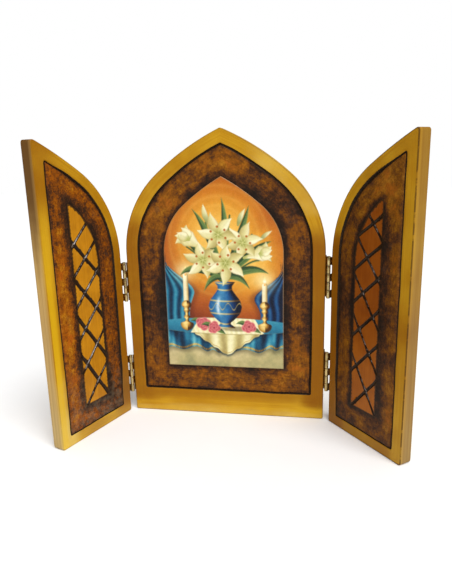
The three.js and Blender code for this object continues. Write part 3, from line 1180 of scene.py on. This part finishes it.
class Canvas:
    """Colours at a spread of points, painted over with soft-edged shapes."""

    def __init__(self, points):
        self.points = points
        self.colours = np.zeros((len(points), 3))
        self.grain = layered_noise(points, 2.2, 301)
        self.cloud = layered_noise(points, 14, 311)

    def lay(self, cover, colours, chosen=slice(None)):
        """Paints colours over the chosen points, as far as cover says."""
        self.colours[chosen] = tinted(self.colours[chosen], colours, np.clip(cover, 0, 1))

    def near(self, low, high, margin=3):
        low, high = np.asarray(low) - margin, np.asarray(high) + margin
        return np.nonzero(((self.points > low) & (self.points < high)).all(axis=1))[0]

    def disc(self, centre, radius, colours, softness=0.8, strength=1):
        centre = np.asarray(centre, float)
        chosen = self.near(centre - radius - softness, centre + radius + softness)
        reach = np.hypot(*(self.points[chosen] - centre).T)
        cover = strength * (1 - smoothstep(radius - softness, radius + softness, reach))
        self.lay(cover, colours(reach / radius) if callable(colours) else colours, chosen)

    def ribbon(self, path, widths, shade, softness=0.35):
        """A shape of changing half width along a path. shade maps (along, across) to colours,
        with along from 0 to 1 and across from -1 on the right of the path to 1 on its left."""
        places = np.linspace(0, 1, len(path))
        widths = np.interp(places, np.linspace(0, 1, len(widths)), widths)
        chosen = self.near(path.min(axis=0) - widths.max(), path.max(axis=0) + widths.max())
        points = self.points[chosen]
        best = np.full(len(points), np.inf)
        along, across = np.zeros((2, len(points)))
        for k, (start, end) in enumerate(zip(path, path[1:])):
            span = end - start
            t = np.clip((points - start) @ span / (span @ span), 0, 1)
            gap = points - start - t[:, None] * span
            reach = np.hypot(gap[:, 0], gap[:, 1])
            side = np.sign(span[0] * gap[:, 1] - span[1] * gap[:, 0])
            closer = reach < best
            best = np.where(closer, reach, best)
            along = np.where(closer, (k + t) / (len(path) - 1), along)
            across = np.where(closer, side * reach, across)
        width = np.interp(along, places, widths)
        cover = smoothstep(softness, -softness, best - width)
        self.lay(cover, shade(along, across / np.maximum(width, 1e-6)), chosen)


HALF_PICTURE = CENTRE_ARCH.half_width - PRINT_INSET.side
PETAL_WIDTHS = np.array([0.35, 0.7, 0.93, 1, 0.95, 0.78, 0.5, 0.2, 0])
LEAF_WIDTHS = np.array([0.25, 0.6, 0.85, 1, 0.98, 0.85, 0.6, 0.3, 0])
BUD_WIDTHS = np.array([0.06, 0.11, 0.14, 0.13, 0.08, 0])
THROAT_WIDTHS = np.array([0.05, 0.07, 0.11, 0.19, 0.29])
CREAM = (
    (-0.2, (138, 120, 66)),
    (0.15, (190, 174, 104)),
    (0.45, (226, 216, 150)),
    (0.8, (247, 241, 198)),
)
GREEN = ((0.1, (30, 52, 34)), (0.5, (72, 104, 54)), (0.95, (140, 158, 84)))
STEM_GREEN = ((-1, (112, 134, 70)), (0.2, (66, 94, 48)), (1, (34, 54, 34)))
GOLDEN_TURN = 137.5
ROSE_PETALS = 17


def petal_shade(light):
    """Cream, lit from one side, greenish at the throat and with a soft rib."""

    def shade(along, across):
        colours = gradient(0.62 * light - 0.30 * across + 0.22 * along, CREAM)
        colours = tinted(colours, (206, 200, 128), 0.5 * around(across, 0, 0.12) * (1 - along))
        colours = tinted(colours, (178, 150, 86), smoothstep(0.72, 1, np.abs(across)) * 0.45)
        return tinted(colours, (168, 172, 84), smoothstep(0.32, 0, along) * 0.8)

    return shade


def leaf_shade(along, across):
    colours = gradient(0.5 - 0.35 * across + 0.2 * (along - 0.5), GREEN)
    return tinted(colours, (150, 164, 96), 0.55 * around(across, 0, 0.1))


def paint_petal(canvas, root, direction, length, width, bend, light):
    tip = root + turned(direction, length)
    control = root + turned(direction + bend, 0.55 * length)
    canvas.ribbon(bezier(root, control, tip), width * PETAL_WIDTHS, petal_shade(light))


def paint_open_lily(canvas, centre, size, turn, tilt):
    """A lily seen from the front. tilt shortens the petals that point away."""
    centre = np.asarray(centre, float)
    for ring, light in ((30, 0.55), (-30, 0.95)):
        for k in range(3):
            direction = turn + ring + 120 * k
            near = 0.5 + 0.5 * math.cos(math.radians(direction - tilt))
            length = size * (0.72 + 0.28 * near)
            root = centre + turned(direction, 0.06 * size)
            shaded = light - 0.25 * (1 - near)
            paint_petal(canvas, root, direction, length, 0.24 * size, 16, shaded)
    canvas.disc(centre, 0.13 * size, (150, 152, 70), 0.9, 0.85)
    for k in range(6):
        end = centre + turned(turn + 18 + 60 * k, 0.36 * size)
        stamen = bezier(centre, centre + turned(turn + 60 * k, 0.2 * size), end)
        canvas.ribbon(stamen, [0.22, 0.18], lambda t, s: (216, 214, 140))
        canvas.disc(end, 0.052 * size, (176, 92, 26), 0.35)


def paint_trumpet_lily(canvas, base, direction, size):
    """A lily seen from the side: a flared throat and its curled petals."""
    base = np.asarray(base, float)
    mouth = base + turned(direction, 0.62 * size)
    for spread, light in ((52, 0.55), (-50, 0.5), (20, 0.7)):
        paint_petal(canvas, mouth, direction + spread, 0.5 * size, 0.16 * size, -spread / 2, light)
    canvas.ribbon(bezier(base, (base + mouth) / 2, mouth), THROAT_WIDTHS * size, petal_shade(0.75))
    for spread, light in ((-24, 1), (4, 0.9)):
        paint_petal(canvas, mouth, direction + spread, 0.46 * size, 0.17 * size, spread, light)


def paint_bud(canvas, base, direction, size):
    tip = np.asarray(base, float) + turned(direction, size)
    control = np.asarray(base, float) + turned(direction + 12, 0.5 * size)

    def shade(along, across):
        colours = petal_shade(0.7)(0.4 + 0.6 * along, across)
        return tinted(colours, (126, 138, 72), 0.75 * smoothstep(0.8, 0, along))

    canvas.ribbon(bezier(base, control, tip), BUD_WIDTHS * size, shade)


def paint_leaf(canvas, root, bend, tip, width):
    canvas.ribbon(bezier(root, bend, tip), width * LEAF_WIDTHS, leaf_shade)


def paint_stem(canvas, root, bend, tip):
    canvas.ribbon(bezier(root, bend, tip), [0.75, 0.6], lambda t, s: gradient(s, STEM_GREEN))


def paint_rose(canvas, centre, size, turn):
    """A rose as petals laid in a spiral from the outside in."""
    for k in range(ROSE_PETALS):
        inward = k / (ROSE_PETALS - 1)
        middle = centre + turned(turn + GOLDEN_TURN * k, size * 0.52 * (1 - inward))
        deep = np.array((164, 44, 62)) * (1 - 0.25 * inward)
        pale = np.array((238, 158, 150)) - 22 * inward
        stops = ((0.2, deep), (0.75, (206, 92, 100)), (1, pale))
        radius = size * (0.52 - 0.3 * inward)
        canvas.disc(middle, radius, lambda reach: gradient(reach, stops), 0.4, 0.92)


GLOW_STOPS = (
    (0, (246, 206, 108)),
    (17, (238, 180, 74)),
    (26, (222, 150, 44)),
    (35, (200, 118, 30)),
    (45, (172, 84, 24)),
    (60, (118, 46, 20)),
    (80, (72, 26, 18)),
)


def paint_glow(canvas):
    """The amber background: a pale halo that deepens to burnt orange and brown at the edges."""
    first, second = (
        np.hypot(*((canvas.points - middle) / (1, 1.1)).T) for middle in ((-3, 98), (17, 84))
    )
    reach = np.minimum(first, second + 7) + 2.4 * canvas.cloud
    canvas.lay(np.ones(len(reach)), gradient(reach, GLOW_STOPS))
    for radius in (24, 30, 37):
        canvas.lay(0.14 * around(first, radius, 1.2), (252, 214, 120))


TABLE_MIDDLE = 33
TABLE_HALVES = (56, 6.5)
CLOTH_FOOT = 13
RUNNER_MIDDLE = 2
RUNNER_HALF = 25
TEAL = [(0, (6, 30, 52)), (0.35, (18, 78, 110)), (0.65, (46, 132, 160)), (1, (122, 192, 198))]
NAVY = [(0, (4, 12, 30)), (0.35, (10, 36, 72)), (0.65, (26, 76, 126)), (1, (76, 134, 166))]
LINEN = ((0.1, (146, 124, 70)), (0.45, (204, 190, 124)), (0.75, (238, 230, 174)), (1, (250, 246, 212)))
SAND = ((0, (140, 140, 98)), (0.5, (184, 172, 118)), (1.1, (214, 196, 146)))
GOLD_HEM = ((0.1, (104, 66, 20)), (0.9, (232, 194, 98)))
GOLD_BAND = ((0.1, (104, 66, 18)), (0.5, (196, 150, 60)), (0.75, (252, 226, 142)))
BLUE_GLAZE = ((0, (4, 14, 34)), (0.3, (12, 44, 88)), (0.6, (30, 92, 146)), (0.8, (84, 154, 190)))
CANDLESTICK = ((0, (70, 40, 12)), (0.45, (182, 130, 44)), (0.8, (252, 224, 140)))
WAX = ((0, (150, 118, 66)), (0.5, (228, 204, 142)), (0.9, (255, 246, 208)))
FLAME = ((0, (250, 170, 60)), (0.4, (255, 252, 224)), (1, (255, 226, 120)))


def table_rise(across):
    """How far the round table's edge is above or below its middle line."""
    return TABLE_HALVES[1] * np.sqrt(np.clip(1 - (across / TABLE_HALVES[0]) ** 2, 0, 1))


def paint_ground(canvas):
    """Pale sand below the cloth, clouded with grey green."""
    up = canvas.points[:, 1]
    tone = 0.5 + 0.5 * canvas.cloud + 0.12 * canvas.grain + up / 60
    canvas.lay(smoothstep(TABLE_MIDDLE + 4, TABLE_MIDDLE, up), gradient(tone, SAND))


def paint_curtain(canvas, side, palette, top):
    """A velvet curtain drawn to one side, in long folds that gather above the table."""
    across, up = canvas.points.T
    from_edge = HALF_PICTURE + 2 - side * across
    fall = 4 + 21 * smoothstep(top, top - 26, up) - 5 * smoothstep(60, 40, up)
    fall = fall + 0.7 * np.sin(0.23 * up + side)
    share = from_edge / fall
    fold = np.sin(19 * share + 0.055 * up * share + side)
    tone = 0.42 + 0.30 * fold + 0.22 * (share - 0.5) + 0.07 * canvas.grain
    tone = tone - 0.25 * smoothstep(top - 10, top + 2, up)
    within = smoothstep(1, 0.965, share) * smoothstep(top + 3, top - 5, up + 4 * fold)
    canvas.lay(0.4 * smoothstep(1.25, 1, share) * (up < top - 6), (84, 34, 18))
    canvas.lay(within, gradient(tone, palette))


def paint_cloth(canvas):
    """A teal cloth over a round table, in upright folds, with a gold hem."""
    across, up = canvas.points.T
    rise = table_rise(across)
    front = TABLE_MIDDLE - rise
    fold = np.sin(0.40 * across + 1.4 * np.sin(0.13 * across + 0.8) + 0.004 * (front - up) * across)
    fine = np.sin(1.2 * across + 0.9 * np.sin(0.31 * across))
    tone = 0.5 + 0.34 * fold + 0.12 * fine + 0.07 * canvas.grain
    tone = tone - 0.25 * np.exp(-np.clip(front - up, 0, None) / 3)
    foot = CLOTH_FOOT + 1.2 * fold + 0.9 * np.sin(0.2 * across) + 0.05 * np.abs(across)
    canvas.lay(0.55 * (smoothstep(foot - 5, foot, up) * (up < foot)), (86, 80, 54))
    on_table = smoothstep(0.4, -0.4, np.abs(up - TABLE_MIDDLE) - rise)
    canvas.lay(on_table, gradient(0.62 + 0.04 * canvas.grain + 0.02 * (up - TABLE_MIDDLE), TEAL))
    canvas.lay(above(foot, up) * smoothstep(front + 0.4, front - 0.4, up), gradient(tone, TEAL))
    hem = around(up - foot, 1.6, 0.8) * (up > foot)
    canvas.lay(hem, gradient(tone + 0.2 * np.sin(5 * across), GOLD_HEM))


def paint_runner(canvas):
    """A cream linen runner that crosses the table and hangs in a point over its front."""
    across, up = canvas.points.T
    off = across - RUNNER_MIDDLE
    front = TABLE_MIDDLE - table_rise(across)
    back = TABLE_MIDDLE + table_rise(across)
    point = front - 17 + 16.5 * np.abs(off) / RUNNER_HALF + 0.5 * np.sin(0.9 * across)
    narrowing = 1 - 0.16 * (up - TABLE_MIDDLE) / TABLE_HALVES[1]
    on_table = smoothstep(0.4, -0.4, np.abs(off) - RUNNER_HALF * narrowing)
    on_table = on_table * smoothstep(back + 0.3, back - 0.3, up) * (up >= front)
    in_front = np.abs(off) < RUNNER_HALF
    hangs = above(point, up) * (up < front) * in_front
    fold = np.sin(0.50 * off + 0.03 * (front - up) * np.sign(off))
    crease = 0.10 * np.sin(1.7 * off + 0.4 * up)
    flat_tone = 0.80 + crease + 0.05 * canvas.grain
    tone = np.where(up < front, 0.56 + 0.28 * fold + 0.06 * canvas.grain, flat_tone)
    canvas.lay(0.6 * smoothstep(point - 3, point, up) * (up < front), (6, 26, 42))
    canvas.lay(np.maximum(on_table, hangs), gradient(tone, LINEN))
    canvas.lay(around(up, front, 0.4) * 0.6 * in_front, (160, 140, 84))
    canvas.lay(0.7 * (around(up - point, 1.4, 0.35) * hangs), (184, 146, 70))


VASE_FOOT = TABLE_MIDDLE - 1.5
VASE_HEIGHTS = (0, 1.4, 2.4, 4, 7, 12, 17, 22, 27, 30, 33, 35.5, 36.2)
VASE_WIDTHS = (7.2, 7.4, 4.6, 3.6, 7.2, 11.6, 12.8, 11.4, 7.6, 5.6, 5.4, 7.6, 8)
VASE_BANDS = (1, 4, 12, 22, 30.5, 35.6)
VASE_MOUTH = 35


def paint_vase(canvas, middle):
    """A deep blue glazed vase with gold bands, lit from the left."""
    across, up = (canvas.points - (middle, VASE_FOOT)).T
    width = sum(np.interp(up + shift, VASE_HEIGHTS, VASE_WIDTHS) for shift in (0, -0.7, 0.7)) / 3
    s = across / np.maximum(width, 0.1)
    cast = np.hypot((across - 9) / 17, (up + 0.5) / 2.6)
    canvas.lay(0.55 * (1 - smoothstep(0.5, 1, cast)), (96, 80, 46))
    tone = 0.72 - 0.42 * (s + 0.35) ** 2 - 0.25 * smoothstep(0.2, 1, s) + 0.04 * canvas.grain
    vine = np.abs(up - 17 - 2.6 * np.sin(0.72 * across)) - 0.35
    glaze = tinted(gradient(tone, BLUE_GLAZE), (216, 184, 96), 0.75 * smoothstep(0.35, -0.2, vine))
    for band in VASE_BANDS:
        curve = up - band + 0.9 * (1 - s**2)
        glaze = tinted(glaze, gradient(tone, GOLD_BAND), 0.9 * around(curve, 0, 0.55))
    gleam = around(s, -0.45, 0.11) * smoothstep(8, 14, up) * smoothstep(27, 20, up)
    glaze = tinted(glaze, (236, 244, 246), 0.8 * gleam)
    within = (up > VASE_HEIGHTS[0]) & (up < VASE_HEIGHTS[-1])
    canvas.lay(smoothstep(0.35, -0.35, np.abs(across) - width) * within, glaze)


STICK_HEIGHT = 15
STICK_WIDTHS = (5.2, 4.6, 2, 1.3, 1.2, 2.2, 2.6, 1.6, 1.1, 1.3, 2, 2.6, 1.8, 2.4, 3.4, 3.8)


def paint_candle(canvas, middle, height):
    """A cream candle on a brass stick, with its flame and the light round it."""
    foot = TABLE_MIDDLE + 1
    flame = np.array([middle, foot + height + 3.6])

    def brass_shade(along, across):
        knobs = 0.12 * np.sin(26 * along)
        return gradient(0.75 - 0.9 * (0.3 - across) ** 2 + knobs, CANDLESTICK)

    def wax_shade(along, across):
        return gradient(0.8 - 0.5 * (0.4 - across) ** 2 + 0.18 * smoothstep(0.75, 1, along), WAX)

    stick = np.array([[middle, foot + k] for k in np.linspace(0, STICK_HEIGHT, 16)])
    wax = np.array([[middle, foot + STICK_HEIGHT], [middle, foot + height]])
    glow = np.hypot(*(canvas.points - flame).T)
    canvas.lay(0.75 * around(glow, 0, 7.5), (255, 244, 188))
    canvas.ribbon(wax, [2.05, 1.95], wax_shade)
    canvas.ribbon(stick, STICK_WIDTHS, brass_shade)
    tongue = np.array([flame - (0, 3.2), flame, flame + (0.3, 4.2)])
    canvas.ribbon(tongue, [0.5, 1.35, 1.15, 0.6, 0], lambda t, s: gradient(t, FLAME))


VASE_MIDDLE = 1
# Stems and leaves start at the vase's mouth. A stem has a tip and a bend, and a leaf a bend, a tip
# and a half width.
STEMS = (
    ((-27, 94), (-17, 88)),
    ((-12, 112), (-8, 92)),
    ((6, 117), (3, 96)),
    ((22, 103), (14, 92)),
    ((27, 84), (18, 84)),
    ((-24, 78), (-14, 78)),
)
LEAVES = (
    ((-24, 84), (-33, 72), 3),
    ((-22, 98), (-34, 104), 2.8),
    ((-10, 108), (-22, 122), 2.7),
    ((4, 112), (0, 130), 2.6),
    ((16, 108), (20, 124), 2.7),
    ((26, 96), (36, 98), 2.8),
    ((22, 82), (34, 74), 3),
    ((12, 76), (20, 62), 2.4),
    ((-8, 76), (-15, 60), 2.4),
)
# A bud and a trumpet lily have a foot, a direction and a size. An open lily has a middle, a size,
# a turn and a tilt, and a rose a middle, a size and a turn.
BUDS = (((-10, 111), 104, 15), ((12, 110), 66, 13), ((28, 99), 38, 11))
TRUMPET_LILIES = (((-14, 92), 146, 22), ((16, 86), 14, 20))
OPEN_LILIES = (
    ((-15, 84), 15.5, 12, 200),
    ((15, 97), 15.5, 40, 60),
    ((-3, 103), 16.5, 78, 110),
    ((2, 82), 17, -8, 280),
)
ROSES = (((-16.5, 34.5), 6.2, 10), ((-8, 31.5), 5.4, 80), ((19, 33), 5.8, 200))
# The two leaves beside a rose: bend and tip, from its middle.
ROSE_LEAVES = (((-5, 5), (-10, 2)), ((5, -2), (9, -5)))
ROSE_LEAF_WIDTH = 1.8


def painting(points):
    """Linear colours of the still life at points measured from the picture's lower edge."""
    canvas = Canvas(points)
    paint_glow(canvas)
    paint_curtain(canvas, -1, TEAL, 84)
    paint_curtain(canvas, 1, NAVY, 78)
    paint_ground(canvas)
    paint_cloth(canvas)
    paint_runner(canvas)
    paint_candle(canvas, -29, 38)
    paint_candle(canvas, 31, 31)
    mouth = np.array([VASE_MIDDLE, VASE_FOOT + VASE_MOUTH])
    for tip, bend in STEMS:
        paint_stem(canvas, mouth, bend, tip)
    for bend, tip, width in LEAVES:
        paint_leaf(canvas, mouth + (0, 3), bend, tip, width)
    paint_vase(canvas, VASE_MIDDLE)
    for paint, flowers in (
        (paint_bud, BUDS),
        (paint_trumpet_lily, TRUMPET_LILIES),
        (paint_open_lily, OPEN_LILIES),
    ):
        for flower in flowers:
            paint(canvas, *flower)
    for centre, size, turn in ROSES:
        for bend, tip in np.add(ROSE_LEAVES, centre):
            paint_leaf(canvas, centre, bend, tip, ROSE_LEAF_WIDTH)
        paint_rose(canvas, centre, size, turn)
    canvas.colours *= 1 + 0.035 * canvas.grain[:, None]
    return srgb(canvas.colours)


CARD_EDGE = (150, 120, 82)
CARD_CORNER = 0.4
CARD_BEVEL = 0.3
CARD_SUNK = 0.04
CARD_BACK_SPACING = 12
PICTURE_SPACING = 0.55


def make_picture():
    """The mounted print: card of even thickness with a small bevel, and the painting on its face."""
    surface = Surface()
    rim = centre_loop(PRINT_INSET, CARD_CORNER)
    face = centre_loop(PRINT_INSET.moved(CARD_BEVEL), CARD_BEVEL)
    count = len(rim) + 1
    levels = [
        (rim, -CARD_SUNK),
        (rim, 0.5 * PRINT_THICKNESS),
        (rim, PRINT_THICKNESS - CARD_BEVEL),
        (face, PRINT_THICKNESS),
    ]
    rings = [surface.add_ring(loop, -height) for loop, height in levels]
    for lower, upper in zip(rings, rings[1:]):
        surface.add_strip(lower, upper, 0, np.zeros(count), 0, 0)
    surface.add_fill(rings[0], 0, CARD_BACK_SPACING)
    surface.add_fill(rings[-1], 0, PICTURE_SPACING)
    points = np.array(surface.points)
    vertices = on_centre(points[:, :2], points[:, 2])
    picture = mesh_object("mounted_picture", vertices, surface.faces, [picture_finish()])
    outward(picture)
    colours = painting(points[:, :2] - (0, PRINT_INSET.bottom))
    on_face = points[:, 2] < -PRINT_THICKNESS + 0.01
    on_rim = distance_to(points[:, :2], closed(face)) < 0.01
    colours[~on_face] = srgb(CARD_EDGE)
    colours[on_rim] = 0.5 * colours[on_rim] + 0.5 * srgb(CARD_EDGE)
    layer = picture.data.color_attributes.new("painting", "FLOAT_COLOR", "POINT")
    rgba = np.hstack([colours, np.ones((len(colours), 1))]).astype(np.float32)
    layer.data.foreach_set("color", rgba.ravel())
    dress(picture, "centre", "picture_print")


# ------------------------------------------------------------------ hinges
#
# A hinge is drawn about its own axis: x out towards the leaf's board, y backwards and z up from
# the foot of the barrel.

SHEET = 0.6
ROLL_RADIUS = 1.4
CURL_STEPS = 22
CURL_TURN = math.radians(288)
NECK_END = 2.1
SWAGE_END = 3.5
SEATED = 1.76
NAIL_HEIGHTS = (5, 15, 25)
NAIL_BACK = 5.6
NAIL_PROFILE = ((1.35, -0.3), (1.35, 0.05), (1.15, 0.22), (0.75, 0.33), (0.35, 0.38))
NAIL_SIDES = 20
PIN_DOME = ((1.3, 0.15), (1.3, 0.32), (1.18, 0.46), (0.85, 0.58), (0.4, 0.64))
PIN_SIDES = 28
LEAF_EASE = 0.12
LEAF_EASE_ANGLE = math.radians(40)


def leaf_path():
    """The middle of the sheet: its curl round the pin, a straight neck, the swage that sets the
    leaf towards its board, and the flat leaf to its far edge."""
    radius = ROLL_RADIUS - SHEET / 2
    angles = -CURL_TURN + CURL_TURN * np.arange(CURL_STEPS + 1) / CURL_STEPS
    curl = radius * np.stack([np.cos(angles), np.sin(angles)], axis=1)
    neck = [(radius, 1), (radius, NECK_END)]
    swage = []
    for t in (0.25, 0.5, 0.75, 1):
        set_out = (SEATED - radius) * float(smoothstep(0, 1, t))
        swage.append((radius + set_out, NECK_END + t * (SWAGE_END - NECK_END)))
    flat = [(SEATED, y) for y in np.linspace(SWAGE_END, LEAF_REACH, 5)[1:]]
    return np.vstack([curl, neck, swage, flat])


def hinge_heights():
    """The heights of the leaf's two ends and of both sides of each saw cut between knuckles."""
    heights = [0, HINGE_LENGTH]
    for k in range(1, KNUCKLES):
        middle = k * HINGE_LENGTH / KNUCKLES
        heights += [middle - KNUCKLE_GAP / 2, middle + KNUCKLE_GAP / 2]
    return sorted(heights)


def make_leaf(name, matrix, side, owned, finish):
    """A leaf of sheet brass, with only the knuckles that it owns rolled round the pin."""
    path = leaf_path()
    heights = hinge_heights()
    neck_column = CURL_STEPS + 2
    vertices = np.array([(side * x, y, z) for z in heights for x, y in path])
    columns = len(path)
    faces = []
    for row, (low_end, high_end) in enumerate(zip(heights, heights[1:])):
        is_saw_cut = high_end - low_end < 2 * KNUCKLE_GAP
        knuckle = int((low_end + high_end) / 2 // (HINGE_LENGTH / KNUCKLES))
        has_knuckle = not is_saw_cut and knuckle in owned
        for column in range(0 if has_knuckle else neck_column, columns - 1):
            low = row * columns + column
            high = low + columns
            faces.append((low, low + 1, high + 1, high))
    used = sorted({corner for face in faces for corner in face})
    place = {old: new for new, old in enumerate(used)}
    faces = [tuple(place[corner] for corner in face) for face in faces]
    leaf = mesh_object(name, moved(vertices[used] * MM, matrix), faces, [finish])
    solidify = leaf.modifiers.new("sheet", "SOLIDIFY")
    solidify.thickness = SHEET * MM
    solidify.offset = 0
    solidify.use_even_offset = True
    bevel = leaf.modifiers.new("eased", "BEVEL")
    bevel.width = LEAF_EASE * MM
    bevel.segments = 2
    bevel.limit_method = "ANGLE"
    bevel.angle_limit = LEAF_EASE_ANGLE
    return leaf


def lathe(profile, sides):
    """Vertices and faces of a closed turned shape. profile holds (radius, height), and its ends
    are closed with caps."""
    vertices = []
    faces = []
    for radius, height in profile:
        for k in range(sides):
            angle = 2 * math.pi * k / sides
            vertices.append((radius * math.cos(angle), radius * math.sin(angle), height))
    last_row = (len(profile) - 1) * sides
    for low in range(0, last_row, sides):
        high = low + sides
        for k in range(sides):
            j = (k + 1) % sides
            faces.append((low + k, low + j, high + j, high + k))
    faces.append(tuple(range(sides))[::-1])
    faces.append(tuple(range(last_row, last_row + sides)))
    return np.array(vertices), faces


def make_pin(name, matrix, finish):
    """The pin, with a low domed head at each end of the barrel."""
    top = [(r, HINGE_LENGTH + h) for r, h in ((PIN_RADIUS, 0), *PIN_DOME)]
    bottom = [(r, HINGE_LENGTH - h) for r, h in reversed(top)]
    vertices, faces = lathe(bottom + top, PIN_SIDES)
    return mesh_object(name, moved(vertices * MM, matrix), faces, [finish])


def make_nails(name, matrix, side, finish):
    """Domed nail heads on the leaf's open face, as one piece."""
    dome, dome_faces = lathe(NAIL_PROFILE, NAIL_SIDES)
    vertices = []
    faces = []
    for height in NAIL_HEIGHTS:
        first = len(vertices)
        for x, y, z in dome:
            vertices.append((side * (SEATED - SHEET / 2 - z), NAIL_BACK + x, height + y))
        faces.extend(tuple(first + corner for corner in face) for face in dome_faces)
    nails = mesh_object(name, moved(np.array(vertices) * MM, matrix), faces, [finish])
    outward(nails)
    return nails


def make_hinges():
    """Both hinges of each wing: a leaf on the centre panel, one on the wing, their pin and their
    nails. The wing's leaf and nails swing with it."""
    finish = brass()
    for hand, (side, _) in WINGS.items():
        axis = Vector(joint_of(hand)["pos_m"])
        for place in ("lower", "upper"):
            prefix = f"hinge_{hand}_{place}"
            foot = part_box(f"{prefix}_wing_leaf")[0].z
            fixed = Matrix.Translation((axis.x, axis.y, foot))
            swung = wing_matrix(hand) @ Matrix.Translation((0, 0, foot))
            halves = (
                ("centre", "centre", fixed, -side, (1, 3)),
                ("wing", f"{hand}_wing", swung, side, (0, 2, 4)),
            )
            for half, body, matrix, way, owned in halves:
                leaf = make_leaf(f"{prefix}_rolled_{half}_leaf", matrix, way, owned, finish)
                dress(leaf, body, f"{prefix}_{half}_leaf")
            pin = make_pin(f"{prefix}_headed_pin", fixed, finish)
            dress(pin, "centre", f"{prefix}_pin")
            for half, body, matrix, way, _ in halves:
                nails = make_nails(f"{prefix}_{half}_nails", matrix, way, finish)
                dress(nails, body)


# ------------------------------------------------------------------ the stage

CAMERA_PLACE = (72.4, -390.9, 195.9)
CAMERA_YAW = -0.1812
CAMERA_PITCH = 0.2407
CAMERA_ROLL = -0.0256
CAMERA_LENS = 33.13
CAMERA_SENSOR = 36
NEAREST_SEEN = 0.01


def make_camera():
    """The photo's camera: its place in millimetres, its turn, its tilt down and its roll."""
    ahead, down = math.cos(CAMERA_PITCH), math.sin(CAMERA_PITCH)
    forward = Vector((math.sin(CAMERA_YAW) * ahead, math.cos(CAMERA_YAW) * ahead, -down))
    level = Vector((math.cos(CAMERA_YAW), -math.sin(CAMERA_YAW), 0))
    upright = level.cross(forward)
    right = level * math.cos(CAMERA_ROLL) + upright * math.sin(CAMERA_ROLL)
    up = upright * math.cos(CAMERA_ROLL) - level * math.sin(CAMERA_ROLL)
    data = bpy.data.cameras.new("camera")
    data.lens = CAMERA_LENS
    data.sensor_width = CAMERA_SENSOR
    data.clip_start = NEAREST_SEEN
    camera = linked("camera", data)
    turn = Matrix((right, up, -forward)).transposed().to_4x4()
    camera.matrix_world = Matrix.Translation(Vector(CAMERA_PLACE) * MM) @ turn
    bpy.context.scene.camera = camera


WORLD_STRENGTH = 0.5
MIRRORED_STRENGTH = 0.12
SUN_FROM = (0.32, -0.46, 0.83)
SUN_STRENGTH = 2.8
SUN_SPREAD = math.radians(40)
FLOOR_HALF = 3
FLOOR_HEIGHT = -0.0001


def make_world():
    """Soft white light from all round, with a plain white background to look at and a dim room
    to be mirrored."""
    world = bpy.data.worlds.new("studio")
    nodes = Nodes(world)
    rays = nodes.node("ShaderNodeLightPath").outputs
    strength = nodes.node(
        "ShaderNodeMapRange",
        {"Value": rays["Is Glossy Ray"], "To Min": WORLD_STRENGTH, "To Max": MIRRORED_STRENGTH},
    )
    strength = nodes.node(
        "ShaderNodeMapRange",
        {"Value": rays["Is Camera Ray"], "To Min": strength.outputs["Result"], "To Max": 1},
    )
    light = {"Color": (1, 1, 1), "Strength": strength.outputs["Result"]}
    background = nodes.node("ShaderNodeBackground", light)
    nodes.node("ShaderNodeOutputWorld", {"Surface": background.outputs["Background"]})
    bpy.context.scene.world = world


def make_sun():
    data = bpy.data.lights.new("key", "SUN")
    data.energy = SUN_STRENGTH
    data.angle = SUN_SPREAD
    turn = (-Vector(SUN_FROM)).to_track_quat("-Z", "Y")
    linked("key", data).matrix_world = turn.to_matrix().to_4x4()


def make_stage():
    signs = ((-1, -1), (1, -1), (1, 1), (-1, 1))
    corners = [(x * FLOOR_HALF, y * FLOOR_HALF, FLOOR_HEIGHT) for x, y in signs]
    floor = mesh_object("floor", corners, [(0, 1, 2, 3)], [floor_finish()], smooth=False)
    bpy.context.scene.view_settings.view_transform = "Standard"
    make_world()
    make_sun()


def floor_finish():
    finish = Finish("floor_paper")
    grain = finish.noise(30, 2)
    shade = finish.ramp(grain, [(0, (0.90, 0.90, 0.90)), (1, (0.93, 0.93, 0.93))])
    return finish.set(Base_Color=shade, Roughness=0.7, Specular_IOR_Level=0.1)


make_camera()
make_stage()
make_centre()
make_wing("left", 101)
make_wing("right", 211)
make_picture()
make_hinges()
